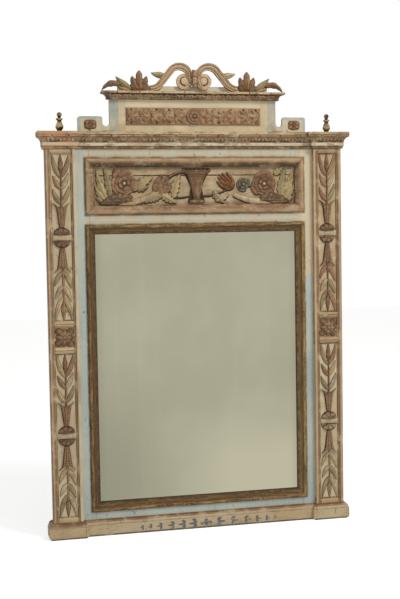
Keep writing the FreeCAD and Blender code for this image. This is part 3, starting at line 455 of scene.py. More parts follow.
# which finish each kept node takes, by the start of its name
nodeFinishes = (
    ("stile", "borders"), ("bottom_rail", "borders"), ("middle_rail", "borders"), ("top_rail", "borders"),
    ("plinth", "plinth"), ("pilaster_board", "boards"), ("pilaster_strips", "strips"),
    ("cornice_cap", "cap"), ("cornice", "cornice"), ("frieze_moulding", "friezeBars"),
    ("frieze_plank", "friezeGround"), ("sight_moulding", "gilding"), ("mirror_glass", "mirror"),
    ("glass_blocks", "wood"), ("backboard", "wood"), ("back_batten", "wood"), ("attic_panel", "attic"),
    ("attic_cornice", "atticCornice"), ("shoulder_", "shoulders"), ("hanger", "iron"), ("finials", "brass"),
    ("", "carving"),
)
for nodeName, node in nodes.items():
    finish = next(f for start, f in nodeFinishes if nodeName.startswith(start))
    node.data.materials.clear()
    node.data.materials.append(finishes[finish])


def place(name, data):
    thing = bpy.data.objects.new(name, data)
    bpy.context.scene.collection.objects.link(thing)
    return thing


bedded = 0.25  # how far the back of a form lies inside its ground


def around(turns):
    return [2 * pi * j / turns for j in range(turns)]


# places along a bent line from its foot to its tip
def bent(foot, control, tip, t):
    foot, control, tip = (np.array(p, float) for p in (foot, control, tip))
    return ((1 - t) ** 2)[:, None] * foot + (2 * t * (1 - t))[:, None] * control + (t ** 2)[:, None] * tip


# closed carved forms, each a run of rings from its foot to its tip, in millimetres
class Carving:
    def __init__(self):
        self.points, self.faces, self.paint, self.rise = [], [], [], []

    # each point carries a rise from 0 to 1 that the finishes read: low rise takes dirt and painted shade, high
    # rise rubbed paint and a painted highlight
    def rings(self, rings, rises, colour, closed=False, notched=False):
        first, rows, count = len(self.points), len(rings), len(rings[0])
        self.points += [tuple(p) for ring in rings for p in ring]
        self.rise += [float(h) for heights in rises for h in heights]
        self.paint += [colours[colour]] * (rows * count)
        for i in range(rows if closed else rows - 1):
            low, high = first + i * count, first + (i + 1) % rows * count
            for j in range(count):
                k = (j + 1) % count
                self.faces.append((low + j, low + k, high + k, high + j))
        if closed:
            return
        self.faces.append(tuple(range(first, first + count)))
        last = first + (rows - 1) * count
        if notched:  # front and back edges are joined strip by strip, so that a mouth stays open
            self.faces += [(last + j, last + j + 1, last + count - 2 - j, last + count - 1 - j)
                           for j in range(count // 2 - 1)]
        else:
            self.faces.append(tuple(range(last + count - 1, last - 1, -1)))

    # a raised band whose middle line, half width and height are given along its run
    def band(self, line, widths, heights, face, colour, sunk=bedded, rise=None, darkening=None):
        line = np.array(line, float)
        # a flat dark margin at the form's foot is its painted shadow, moved by the shift when one is given
        if darkening:  # a flat dark margin lies round the foot of the form
            margin, depth, *shift = darkening
            flat = np.full((len(line), 3), 0.22 + 0.004 * (len(self.points) % 37))
            self.band(line + (shift or (0, 0)), np.asarray(widths) + margin, flat, face, "grimeAndShade", sunk,
                      np.full(flat.shape, depth))
        # no two backs lie in one plane
        rear = face + np.broadcast_to(sunk, len(line)) - 0.006 * (len(self.points) % 31)
        run = np.gradient(line, axis=0)
        run /= np.maximum(np.linalg.norm(run, axis=1, keepdims=True), 1e-9)
        side = np.stack([run[:, 1], -run[:, 0]], axis=1)
        across = np.linspace(-1, 1, heights.shape[1])
        rise = heights / max(heights.max(), 1e-6) if rise is None else rise * np.ones_like(heights)
        rings, rises = [], []
        for i, (x, z) in enumerate(line):
            front = [(x + side[i, 0] * widths[i] * a, face - h, z + side[i, 1] * widths[i] * a)
                     for a, h in zip(across, heights[i])]
            rings.append(front + [(front[-1][0], rear[i], front[-1][2]), (front[0][0], rear[i], front[0][2])])
            rises.append(list(rise[i]) + [0, 0])
        self.rings(rings, rises, colour)

    # flat dark margin painted as the shadow round a form that stands on the middle line
    def margin(self, levels, halves, face, depth, thick=0.2):
        flat = np.full((len(levels), 3), thick)
        self.band([(0, z) for z in levels], halves, flat, face, "grimeAndShade", rise=np.full(flat.shape, depth))

    def leaf(self, foot, tip, width, face, colour, crown=6, edge=1.4, bend=0, lobes=0, lobeDepth=0.22,
             veins=5, curl=0, shape="lance", steps=20, darkening=None):
        t = np.linspace(0, 1, steps)
        foot, tip = np.array(foot, float), np.array(tip, float)
        run = tip - foot
        normal = np.array([run[1], -run[0]]) / np.linalg.norm(run)
        line = bent(foot, (foot + tip) / 2 + normal * bend * 2, tip, t)
        if shape == "petal":
            spread = np.where(t < 0.7, 0.35 + 0.65 * np.sin(np.clip(t / 0.7, 0, 1) * pi / 2),
                              np.sqrt(np.clip(1 - ((t - 0.7) / 0.305) ** 2, 0, 1)))
        elif shape == "broad":
            spread = np.maximum(np.sin(pi * t ** 1.15) ** 0.6, 0.3 * (1 - t))
        else:
            spread = np.maximum(np.sin(pi * t ** 0.72) ** 0.85, 0.15 * (1 - t))
        if lobes:
            spread = spread * (1 - lobeDepth + lobeDepth * np.abs(np.sin(pi * lobes * t)))
        widths = np.maximum(width * spread, 0.12)
        a = np.linspace(-1, 1, 15)[None, :]
        body = np.sin(np.clip(t * 0.93 + 0.07, 0, 1) * pi)[:, None] ** 0.45
        rib = np.exp(-(a / 0.15) ** 2)
        vein = np.abs(np.sin(pi * veins * (t[:, None] - 0.22 * np.abs(a)))) * (1 - rib)
        heights = edge + crown * body * (0.52 * (1 - a ** 2) + 0.34 * rib + 0.12 * vein * (1 - np.abs(a)))
        # rise drops at the leaf's thin edges and towards its foot, painting shade there
        rise = (0.62 + 0.38 * (1 - a ** 2) + 0.16 * vein) * (1 - 0.75 * a ** 6)
        rise = rise * np.clip(0.5 + 3 * t, 0, 1)[:, None]
        along = t[:, None]
        if shape == "petal":  # petals are hollow with a ruffled, rolled rim
            ruffle = np.abs(np.sin(2.1 * pi * a)) * along
            roll = (0.15 + 0.85 * along ** 1.4) * np.clip(14 * (1.02 - along), 0.15, 1)
            heights = edge + crown * roll * (0.7 + 0.3 * ruffle)
            # a petal's rise paints shade at its foot and edges and a highlight on its rolled rim
            rise = (0.08 + 0.87 * along) * (1 - 0.6 * a ** 4) * (0.62 + 0.38 * ruffle)
        self.band(line, widths, heights + curl * along ** 2, face, colour, rise=rise, darkening=darkening)

    def stem(self, line, thick, face, colour, crown=5, steps=22, taper=0.6, darkening=None):
        t = np.linspace(0, 1, steps)
        widths = thick / 2 * (1 - (1 - taper) * t)
        a = np.linspace(-1, 1, 9)[None, :]
        heights = (1 + crown * np.sqrt(1 - 0.96 * a ** 2)) * np.ones((steps, 1))
        self.band(bent(*line, t), widths, heights, face, colour, darkening=darkening)

    def knob(self, x, z, radius, face, height, colour, lift=0, turns=20):
        rows = [(radius, face + bedded, 0)]
        for share in (0, 0.35, 0.62, 0.82, 0.94, 0.995):
            r = radius * sqrt(max(1 - share ** 2, 0.0004))
            rows.append((r, face - lift - height * share, 0.35 + 0.65 * share))
        rings = [[(x + r * cos(b), y, z + r * sin(b)) for b in around(turns)] for r, y, _ in rows]
        self.rings(rings, [[h] * turns for _, _, h in rows], colour)

    def slab(self, x0, x1, z0, z1, face, height, colour, soft=1.2):
        rows = [(face + bedded, 0, 0), (face - height + soft, 0, 0.5), (face - height, soft, 1)]
        rings = [[(x0 + i, y, z0 + i), (x1 - i, y, z0 + i), (x1 - i, y, z1 - i), (x0 + i, y, z1 - i)]
                 for y, i, _ in rows]
        self.rings(rings, [[r] * 4 for _, _, r in rows], colour)

    # another carving moved to a centre, with a half turn about it if asked
    def join(self, other, centre, flip):
        first, sign = len(self.points), -1 if flip else 1
        self.points += [(sign * x + centre[0], y, sign * z + centre[1]) for x, y, z in other.points]
        self.rise += other.rise
        self.paint += other.paint
        self.faces += [tuple(i + first for i in f) for f in other.faces]

    def mesh(self, name):
        mesh = bpy.data.meshes.new(name)
        mesh.from_pydata((np.array(self.points) * mm).tolist(), [], self.faces)
        paint = mesh.attributes.new("paint", "FLOAT_COLOR", "POINT")
        paint.data.foreach_set("color", np.array([(*c, 1) for c in self.paint], np.float32).ravel())
        rise = mesh.attributes.new("rise", "FLOAT", "POINT")
        rise.data.foreach_set("value", np.array(self.rise, np.float32))
        return mesh

    def build(self, name, finish, replaced=(), slot="carved_mauve_paint", body="mirror_frame"):
        settle(self.mesh(name), name, finish, replaced, body)


creaseAngle = 48  # degrees


def settle(mesh, name, finish, replaced, body="mirror_frame"):
    work = bmesh.new()
    work.from_mesh(mesh)
    bmesh.ops.recalc_face_normals(work, faces=work.faces)
    work.to_mesh(mesh)
    work.free()
    mesh.polygons.foreach_set("use_smooth", [True] * len(mesh.polygons))
    mesh.set_sharp_from_angle(angle=radians(creaseAngle))
    mesh.materials.clear()
    mesh.materials.append(finishes[finish])
    piece = place(name, mesh)
    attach(piece, body)
    if replaced:
        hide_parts(*replaced)


# pilaster panels
panelCarving = {
    "across": pilasterAcross, "centres": panelLevels, "face": -8.0,
    "tabletHalf": (30.6, 9.0), "tabletRise": 4.0, "domeFoot": 9.6, "domeSize": (26.0, 22.0),
    "huskFoot": 32.2, "huskLength": 76.0, "notch": 17.0,
    "huskHalf": ((0, 0.15, 0.39, 0.6, 0.79, 0.9, 1), (6.6, 8.8, 11.4, 13.0, 15.8, 20.0, 27.0)),
    "sprayFoot": 87.0, "sprayTop": 259.0, "leafLength": 50.0, "leafWidth": 7.2,
    # the last pair gives the width and rise of the dark margins painted as the forms' shadows
    "fan": (25.0, 72.0, 7.2), "darkening": (0.9, 0.40),
}


def panelHalf(tones, seed):
    v = panelCarving
    c = Carving()
    face, foot, darkening = v["face"], v["domeFoot"], v["darkening"]
    spread, tall = v["domeSize"]
    rings, rises = [], []
    for x in np.linspace(-0.995, 0.995, 31):  # scalloped half dome
        top = tall * sqrt(1 - x * x)
        front, heights = [], []
        for share in np.linspace(0, 1, 12):
            flute = abs(cos(3.5 * atan2(share * top + 2, x * spread + 1e-6)))
            bulge = 6.6 * sqrt(1 - x * x * 0.9) * sqrt(1 - 0.85 * share ** 2)
            front.append((x * spread, face - 2.2 - bulge * (0.72 + 0.28 * flute), foot + share * top))
            # the dome's rise paints shade between its flutes, in bands across it and at its foot
            tiers = 0.4 + 0.6 * abs(cos(1.6 * pi * share + 0.3))
            heights.append((0.22 + 0.78 * flute) * tiers * (1 - 0.6 * share ** 8) * min(1, 0.2 + 7 * share))
        rings.append(front + [(x * spread, face + bedded, z) for z in (foot + top, foot)])
        rises.append(heights + [0, 0])
    c.rings(rings, rises, tones[5])
    rings, rises = [], []
    a = np.linspace(-1, 1, 25)
    for t in np.linspace(0, 1, 50):  # scaled husk with two horns
        half = np.interp(t, *v["huskHalf"])
        column = np.floor(1.5 * (a + 1) * 0.999)
        scale = np.abs(np.sin(pi * (8 * t + 0.5 * (column % 2)))) ** 0.6
        scale = scale * np.abs(np.sin(pi * 1.5 * (a + 1))) ** 0.5
        scale = np.maximum(scale, np.clip((t - 0.96) / 0.03, 0, 0.8))
        h = 2.0 + (6.0 * np.sqrt(1 - 0.93 * a ** 2)) * (0.86 + 0.14 * t) + 1.6 * scale
        z = v["huskFoot"] + t * v["huskLength"] - v["notch"] * (1 - np.abs(a) ** 1.05) * t ** 3
        front = [(half * p, face - q, r) for p, q, r in zip(a, h, z)]
        rings.append(front + [(half * p, face + bedded, r) for p, r in zip(a[::-1], z[::-1])])
        # the husk's rise paints shade between its scales and along its edges
        rises.append(list((0.12 + 0.85 * scale) * (1 - 0.7 * a ** 8)) + [0] * len(a))
    c.rings(rings, rises, "husk", notched=True)
    # painted shadows round the husk and the dome
    low, high = v["huskFoot"] - 1, v["huskFoot"] + v["huskLength"]
    levels = np.linspace(low, high - v["notch"], 24)
    share = (levels - low) / (high - low)
    c.margin(levels, np.interp(share, *v["huskHalf"]) + darkening[0], face, darkening[1])
    levels = np.linspace(foot - darkening[0], foot + tall + darkening[0], 16)
    share = np.clip((levels - foot) / (tall + darkening[0]), 0, 1)
    c.margin(levels, (spread + darkening[0]) * np.sqrt(1 - 0.99 * share ** 2), face, darkening[1], 0.21)
    low, high = v["sprayFoot"], v["sprayTop"]
    middle = (seed * 2.5, (low + high) / 2)
    c.stem([(0, low), middle, (0, high - 30)], 6.0, face, tones[0], 3.6, darkening=darkening)
    for i, share in enumerate((0.11, 0.37)):
        foot = low + share * (high - low)
        for side in (-1, 1):
            reach = v["leafLength"] - 4 * i + (5 if side > 0 else -4) * seed
            tone = tones[1 + (i * 2 + (side + 1) // 2) % 4]
            tip = (side * (26 - 1.2 * i), min(foot + reach, high))
            c.leaf((side * 1.2, foot), tip, v["leafWidth"], face, tone, 5.4, bend=side * (4 - 2 * i),
                   veins=6, darkening=darkening)
    wide, long, width = v["fan"]
    for side in (-1, 1):
        c.leaf((side * 1.5, high - long), (side * wide, high - 1), width, face, tones[2 + side], 5.0,
               bend=side * 5, veins=6, darkening=darkening)
    c.leaf((0, high - 54), (0, high), 7.4, face, tones[0], 6, veins=4, lobes=3, darkening=darkening)
    return c


# tones of each panel's upper and lower half: stem, four leaves and dome
tonePlans = {
    "upper_left": ("mauve olive yellow clay buff mauve", "clay yellow olive buff ivory mauve"),
    "lower_left": ("mauve yellow olive terracotta ivory mauve", "clay buff yellow olive ivory mauve"),
    "upper_right": ("mauve terracotta olive clay buff mauve", "mauve clay terracotta olive buff terracotta"),
    "lower_right": ("mauve olive ivory terracotta yellow tan", "clay ivory yellow olive buff tan"),
}
v = panelCarving
for key, tones in tonePlans.items():
    level, hand = key.split("_")
    x, z = v["across"] * hands[hand], v["centres"][level]
    whole = Carving()
    for flip in (False, True):
        whole.join(panelHalf(tones[flip].split(), -1 if flip else 1), (x, z), flip)
    w, h = v["tabletHalf"]
    whole.slab(x - w, x + w, z - h, z + h, v["face"], v["tabletRise"], "ivory")
    whole.build("panelCarving." + key, "carving", ["panel_carving_" + key])


# petals in rings, each ring smaller and higher than the one outside it
def bloom(c, x, z, radius, face, layers, tones, crown, eye, darkening=None, uneven=0.0):
    for count, share, lift, tone, start in layers:
        for i in range(count):
            angle = 2 * pi * i / count + start + uneven * sin(5.1 * i + 2.3 * count)
            reach = radius * share * (1 + uneven * sin(3.7 * i + 1.9 * count + x))
            foot, tip = ((x + sin(angle) * r, z + cos(angle) * r) for r in (0.16 * reach, reach))
            width = min(reach * pi / count * 1.06, reach * 0.5)
            # only the outer ring of petals lies on a dark margin painted as its shadow
            c.leaf(foot, tip, width, face, tones[tone], crown, edge=1.6 + lift, shape="petal", steps=14,
                   darkening=None if lift else darkening)
    c.knob(x, z, eye, face, 2.6, tones[-1], lift=crown + 2.0, turns=14)


# rosettes in the pilasters' middle squares
rosette = {
    "across": pilasterAcross, "height": 640.0, "face": -8.0, "eye": 4.6,
    # turn, reach, half width, height above the face, tone and lobes of each ring of leaves
    "leaves": ((0.0, 28.5, 8.5, 0.0, "umber", 3), (0.5, 37.0, 12.5, 1.0, "umber", 3),
               (0.0, 20.0, 7.5, 4.2, "clay", 2), (0.5, 20.0, 7.5, 5.4, "mauve", 2)),
}
v = rosette
for hand, side in hands.items():
    c = Carving()
    x, z = side * v["across"], v["height"]
    for i in range(4):
        for turn, reach, width, raised, tone, lobes in v["leaves"]:
            angle = (i + turn) * pi / 2 + 0.05
            foot, tip = ((x + r * sin(angle), z + r * cos(angle)) for r in (3, reach))
            # the lower leaves lie on a dark margin painted as their shadow
            c.leaf(foot, tip, width, v["face"] - raised, tone, 4.2, edge=1.0, lobes=lobes, lobeDepth=0.34,
                   veins=4, shape="broad", darkening=None if raised > 3 else (1.6, 0.2))
    c.knob(x, z, v["eye"], v["face"], 2.4, "clay", lift=9.0, turns=14)
    c.build("rosette." + hand, "carving", ["rosette_" + hand])
print("pilaster carving made")

# frieze carving, places in millimetres from the middle of its floor
friezePlan = {
    # the four numbers after the rose radius give the width and rise of the dark margins painted as the forms'
    # shadows, and how far they are shifted right and down
    "face": 9.0, "floor": 1051.0, "roseRadius": 40.0, "darkening": (1.4, 0.15, 0.6, -2.6),
    "roses": ((-235, 69, ("clay", "rose", "buff")), (226, 65, ("rose", "mauve", "buff"))),
    "roseLayers": ((8, 1.06, 0, 0, 0.25), (7, 0.80, 2.2, 1, 0.7), (5, 0.50, 4.4, 0, 0.2)),
    "leaves": (
        ((-286, 14), (-323, 113), 11, "yellow", -6, 5), ((-280, 24), (-301, 117), 11, "olive", 5, 5),
        ((-292, 12), (-328, 62), 10, "yellow", -4, 4), ((-288, 6), (-326, 26), 9, "olive", -3, 3),
        ((-194, 58), (-142, 88), 15, "yellow", -3, 4), ((-196, 50), (-158, 60), 9, "olive", 3, 3),
        ((-112, 32), (-170, 6), 13, "olive", 3, 5), ((-116, 38), (-66, 6), 13, "yellow", 3, 5),
        ((-74, 20), (-52, 98), 14, "yellow", -6, 5),
        ((56, 44), (92, 4), 13, "olive", 3, 5), ((104, 38), (62, 10), 11, "ivory", -3, 4),
        ((283, 16), (300, 116), 13, "olive", -5, 5), ((286, 18), (324, 108), 13, "yellow", 6, 5),
        ((290, 12), (328, 58), 11, "yellow", 4, 4), ((288, 6), (326, 24), 9, "olive", 3, 3),
        ((264, 92), (290, 116), 10, "yellow", -3, 3), ((-270, 100), (-262, 117), 8, "mauve", 3, 0),
    ),
    "stems": (
        (((-252, 11), (-190, -3), (-116, 50)), 25, "ochre"), (((248, 11), (190, -2), (124, 32)), 25, "ivory"),
        (((-100, 80), (-72, 106), (-36, 104)), 10, "brown"), (((-70, 24), (-46, 20), (-18, 30)), 4.5, "brown"),
        (((18, 30), (52, 22), (112, 52)), 6, "brown"), (((-310, 9), (-250, 2), (-200, 12)), 15, "brown"),
        (((306, 9), (250, 2), (210, 10)), 15, "brown"),
    ),
    "husks": (
        ((-314, 9), (-206, 25), 16, -5), ((-302, 16), (-228, 37), 15, 4), ((-268, 10), (-206, 14), 10, -2),
        ((312, 9), (210, 22), 15, 5), ((300, 16), (232, 33), 14, -4), ((264, 9), (210, 12), 9, 2),
    ),
    "bluebell": (156, 64, 22), "bluebellLayers": ((6, 1.0, 0, 0, 0.3), (5, 0.68, 1.8, 1, 0.8)),
    "tulips": (((-138, 39), (-84, 83), "mauve", 9.25, 62), ((121, 50), (76, 97), "orange", 7.4, 52)),
    # sway, share of the length and lift of a tulip's petals
    "petals": ((0.42, 0.84, 0), (-0.42, 0.84, 0), (0.2, 0.95, 1.4), (-0.2, 0.95, 1.4), (0, 1.0, 2.6)),
}
face, floor, darkening = (friezePlan[key] for key in ("face", "floor", "darkening"))


def lifted(point):
    return (point[0], point[1] + floor)


v = friezePlan
c = Carving()
for foot, tip, width, tone, bend, lobes in v["leaves"]:
    c.leaf(lifted(foot), lifted(tip), width * 1.12, face, tone, 7.6, bend=bend, lobes=lobes, lobeDepth=0.33,
           curl=1.5, steps=40, darkening=darkening)
x, z, radius = v["bluebell"]
bloom(c, x, z + floor, radius, face, v["bluebellLayers"], ("teal", "teal", "olive"), 4.6, 4.0, darkening, 0.16)
c.build("friezeLeaves", "carving", ["frieze_leaves"], "olive_paint")
c = Carving()
for line, thick, tone in v["stems"]:
    c.stem([lifted(p) for p in line], thick, face, tone, 5.5, darkening=darkening)
for foot, tip, width, bend in v["husks"]:
    c.leaf(lifted(foot), lifted(tip), width, face - 3.5, "brown", 7.0, edge=1.5, bend=bend, lobes=6,
           lobeDepth=0.30, veins=7, shape="broad", steps=36)
c.build("friezeStems", "carving", ["frieze_stems"])
c = Carving()
for x, z, tones in v["roses"]:
    bloom(c, x, z + floor, v["roseRadius"], face, v["roseLayers"], tones, 5.0, 5.0, darkening, 0.12)
c.build("friezeRoses", "carving", ["frieze_roses"])
c = Carving()
for foot, tip, tone, width, spread in v["tulips"]:
    foot, tip = np.array(foot), np.array(tip)
    side = np.array([tip[1] - foot[1], foot[0] - tip[0]]) / np.linalg.norm(tip - foot)
    for sway, share, lift in v["petals"]:
        end = foot + (tip - foot) * share + side * sway * spread
        c.leaf(lifted(foot), lifted(end), width, face, tone, 6.4, edge=1.6 + lift, bend=sway * 16, veins=4,
               darkening=None if lift else darkening)
c.build("friezeTulips", "carving", ["frieze_tulips"])

# the urn's rows are heights above its base with half widths, and its dark lines are heights too
urn = {
    "rows": ((0, 26), (7, 25), (11, 11), (18, 12), (34, 15), (56, 20), (76, 26), (88, 31), (94, 37),
             (100, 46), (108, 48)),
    "base": 6.0, "ruffle": 6.0, "lines": (10, 15, 84, 90, 101),
    "leaves": ((0, 14, 82, 12, 9.0), (-9, 18, 78, 8, 6.4), (9, 18, 78, 8, 6.4)),
    # margin: levels, half widths and rise of a dark margin painted as the urn's shadow
    "margin": ((-1, 50, 110), (29, 18, 48), 0.15),
}
c = Carving()
a = np.linspace(-1, 1, 25)
base = urn["base"] + floor
levels = np.linspace(0, urn["rows"][-1][0], 44)
rings, rises = [], []
for z, half in zip(levels, np.interp(levels, *zip(*urn["rows"]))):
    ribs = 0.9 + 0.1 * np.abs(np.cos(4.5 * pi * a)) if 16 < z < 94 else np.ones_like(a)
    h = 2.5 + 9.5 * np.sqrt(1 - 0.94 * a ** 2) * ribs * (0.7 + 0.3 * half / 42)
    dips = z + base - urn["ruffle"] * max(z - 92, 0) / 16 * np.sin(3.5 * pi * a) ** 2
    front = [(half * p, face - q, r) for p, q, r in zip(a, h, dips)]
    rings.append(front + [(side * half, face + bedded, dips[0]) for side in (1, -1)])
    clear = 1 - 0.8 * max(exp(-((z - mark) / 1.6) ** 2) for mark in urn["lines"])
    rises.append(list(clear * (ribs * 4 - 3) * (1 - 0.6 * a ** 8)) + [0, 0])
c.rings(rings, rises, "umber")
for x, low, high, width, raised in urn["leaves"]:
    c.leaf((x * 0.5, low + base), (x * 1.9, high + base), width, face - raised, "mauve", 5.6, edge=0.4,
           lobes=5, lobeDepth=0.36, veins=6, steps=30)
levels, halves, depth = urn["margin"]
c.margin([z + base for z in levels], np.array(halves), face, depth)
c.build("friezeUrn", "carving", ["frieze_urn"])
print("frieze carving made")

# crest, places in millimetres from the middle of its foot
crestPlan = {
    "face": 23.0, "foot": 1410.0, "depth": 15.5,
    "topArc": (48.0, 45.0, 35.0), "footArc": (143.35, 56.0, 46.0), "slope": 51.0,
    "volute": (32.0, 34.5), "voluteStart": 23.5, "voluteEnd": 14.5, "voluteTurns": 1.3,
    "neckWidths": (8.5, 11.4, 11.0), "rimHalf": (5.6, 4.0), "ground": (22.0, 4.0),
    "foliage": (
        ((176, 1), (149, 24), 8.0, "mauve", -4, 0, 7), ((178, 1), (205, 24), 8.0, "mauve", 4, 0, 7),
        ((176, 1), (154, 49), 10.0, "mauve", -4, 2, 10), ((178, 1), (200, 49), 10.0, "mauve", 4, 2, 10),
        ((177, 1), (177, 67), 13.0, "rose", 0, 3, 13), ((204, 8), (253, 47), 10.5, "olive", 3, 0, 10),
        ((207, 2), (246, 14), 6, "ochre", 1, 0, 8), ((234, 19), (298.5, 1.5), 10.5, "mauve", -14, 3, 10),
    ),
    "neckLeaf": ((92, 52.5), (139.5, 60), 10.0), "knob": 12.0, "tie": (8.0, 13.0, 69.0),
}


# the middle line of a scroll, from its foot over the neck and into the volute
def scrollLine(v):
    slope = radians(v["slope"])
    x, z, r = v["footArc"]
    line = [(x - r * sin(b), z - r * cos(b)) for b in np.linspace(0, slope, 12)]
    x, z, r = v["topArc"]
    line += [(x + r * sin(b), z + r * cos(b)) for b in np.linspace(slope, -pi / 2, 30)]
    neck = len(line)
    x, z = v["volute"]
    first = atan2(line[-1][1] - z, line[-1][0] - x)
    for share in np.linspace(0.05, 1, 60):
        angle = first + share * v["voluteTurns"] * 2 * pi
        r = v["voluteStart"] + (v["voluteEnd"] - v["voluteStart"]) * share ** 1.2
        line.append((x + r * cos(angle), z + r * sin(angle)))
    return np.array(line), neck


v = crestPlan
line, neck = scrollLine(v)
share = np.concatenate([np.zeros(neck), np.linspace(0, 1, len(line) - neck)])
rim = v["rimHalf"]
neckWidths = np.interp(np.arange(neck), [0, 16, neck - 12, neck - 1], [*v["neckWidths"], rim[0] + 1])
widths = np.concatenate([neckWidths, rim[0] + (rim[1] - rim[0]) * np.linspace(0, 1, len(line) - neck)])
a = np.linspace(-1, 1, 17)[None, :]
inner = np.clip(share * 4, 0, 1)[:, None]
reeds = 0.70 + (1 - 0.78 * inner) * (0.24 * np.cos(2 * pi * a) + 0.06 * np.cos(6 * pi * a))
heights = v["depth"] * reeds * (1 - 0.18 * share)[:, None]
# the rise paints shade into the scroll's two grooves and along its edges, less of it towards the volute
grooves = 1 - (0.72 - 0.45 * inner) * np.exp(-((np.abs(a) - 0.5) / 0.16) ** 2) - 0.45 * a ** 10
scrolls, foliage = Carving(), {hand: Carving() for hand in hands}
foot, face = v["foot"], v["face"]
for hand, side in hands.items():
    def at(spot):
        return (side * spot[0], spot[1] + foot)

    scrolls.band([at(p) for p in line], widths, heights, face, "shell", sunk=-0.6 * share, rise=grooves)
    radius, thick = v["ground"]
    scrolls.knob(*at(v["volute"]), radius, face - 0.3, 0.8, "umber", lift=thick, turns=32)
    scrolls.knob(*at(v["volute"]), v["knob"], face - 3.0, 2.4, "buff", lift=6.8)
    start, end, width = v["neckLeaf"]
    scrolls.leaf(at(start), at(end), width, face - 0.3, "olive", 9, edge=4, bend=side * 3, veins=4)
    for start, end, width, tone, bend, lobes, crown in v["foliage"]:
        shape = "broad" if 170 < start[0] < 184 else "lance"
        foliage[hand].leaf(at(start), at(end), width, face - 0.3, tone, crown, edge=4, bend=side * bend,
                           lobes=lobes, lobeDepth=0.2, shape=shape, steps=30)
scrolls.build("crestScrolls", "crest", ["crest_scrolls"])
for hand, c in foliage.items():
    c.build("crestFoliage." + hand, "foliage", ["crest_foliage_" + hand])
tie = Carving()
half, low, high = v["tie"]
low, high = low + foot, high + foot
tie.slab(-half, half, low, high, 7.3, 3.4, "mauve", 2.4)
tie.leaf((0, low), (0, high), half, 4.2, "clay", 3.2, lobes=5, veins=7, shape="broad", steps=36)
for share in (0.22, 0.62):
    z = low + share * (high - low)
    tie.stem([(-half, z), (0, z + 3), (half, z)], 5.0, 3.6, "mauve", 3.6, 10, 1.0)
tie.build("crestTie", "crest", ["crest_tie"])
print("crest made")


def joinNodes(tree, rows):
    for source, output, target, entrance in rows:
        tree.links.new(source.outputs[output], target.inputs[entrance])


# Geometry Nodes: one motif set out along a straight run
runSockets = {"Motif": "Object", "Run Start": "Vector", "Run End": "Vector", "Count": "Int", "Turn": "Vector",
              "Uneven": "Float", "Seed": "Int", "Finish": "Material"}


def setOutTree():
    tree = bpy.data.node_groups.new("setOutAlongRun", "GeometryNodeTree")
    tree.interface.new_socket("Geometry", in_out="INPUT", socket_type="NodeSocketGeometry")
    ids = {}
    for label, kind in runSockets.items():
        socket = tree.interface.new_socket(label, in_out="INPUT", socket_type="NodeSocket" + kind)
        ids[label] = socket.identifier
    tree.interface.new_socket("Geometry", in_out="OUTPUT", socket_type="NodeSocketGeometry")
    entry, leave, run, motif, spread, vary, low, high, real, dress = (tree.nodes.new(kind) for kind in (
        "NodeGroupInput", "NodeGroupOutput", "GeometryNodeMeshLine", "GeometryNodeObjectInfo",
        "GeometryNodeInstanceOnPoints", "FunctionNodeRandomValue", "ShaderNodeMath", "ShaderNodeMath",
        "GeometryNodeRealizeInstances", "GeometryNodeSetMaterial"))
    run.mode = "END_POINTS"
    low.operation, high.operation = "SUBTRACT", "ADD"
    low.inputs[0].default_value = high.inputs[0].default_value = 1.0
    joinNodes(tree, (
        (entry, "Run Start", run, "Start Location"), (entry, "Run End", run, "Offset"),
        (entry, "Count", run, "Count"), (entry, "Motif", motif, "Object"),
        (entry, "Uneven", low, 1), (entry, "Uneven", high, 1), (low, 0, vary, 2), (high, 0, vary, 3),
        (entry, "Seed", vary, "Seed"), (run, 0, spread, "Points"), (motif, "Geometry", spread, "Instance"),
        (entry, "Turn", spread, "Rotation"), (vary, 1, spread, "Scale"), (spread, 0, real, 0),
        (real, 0, dress, "Geometry"), (entry, "Finish", dress, "Material"), (dress, 0, leave, 0)))
    return tree, ids


setOut, setOutIds = setOutTree()


# each run is start, end, count and turn, and all its copies end up in one plain mesh
def setOutRuns(name, motif, runs, finish, uneven, seed, replaced=(), ground=None):
    joined = bmesh.new()
    motifObject = place(name + ".motif", motif.mesh(name + ".motif"))
    if ground:
        joined.from_mesh(ground.mesh(name + ".ground"))
    for i, (start, end, count, turn) in enumerate(runs):
        holder = place(name + ".run", bpy.data.meshes.new(name + ".run"))
        modifier = holder.modifiers.new("setOut", "NODES")
        modifier.node_group = setOut
        values = (motifObject, start, end, count, turn, uneven, seed + i, finishes[finish])
        for label, value in zip(runSockets, values):
            modifier[setOutIds[label]] = value
        bpy.context.view_layer.update()
        copies = bpy.data.meshes.new_from_object(holder.evaluated_get(bpy.context.evaluated_depsgraph_get()))
        joined.from_mesh(copies)
        bpy.data.objects.remove(holder)
        bpy.data.meshes.remove(copies)
    bpy.data.objects.remove(motifObject)
    mesh = bpy.data.meshes.new(name)
    joined.to_mesh(mesh)
    joined.free()
    settle(mesh, name, finish, replaced)


# runs in metres from places in millimetres: across, from rows of low, high, depth, level and count, or upright
def runsOf(rows, turn=(0, 0, 0)):
    return [((low * mm, y * mm, z * mm), (high * mm, y * mm, z * mm), count, turn)
            for low, high, y, z, count in rows]


def runsUp(places, y, low, high, count, turn):
    return [((x * mm, y * mm, low * mm), (x * mm, y * mm, high * mm), count, turn) for x in places]


# a small dark round mark
def darkDot(radius, height):
    dot = Carving()
    dot.knob(0, 0, radius, 0, height, "grimeAndShade", turns=10)
    dot.rise = [0.1] * len(dot.rise)
    return dot


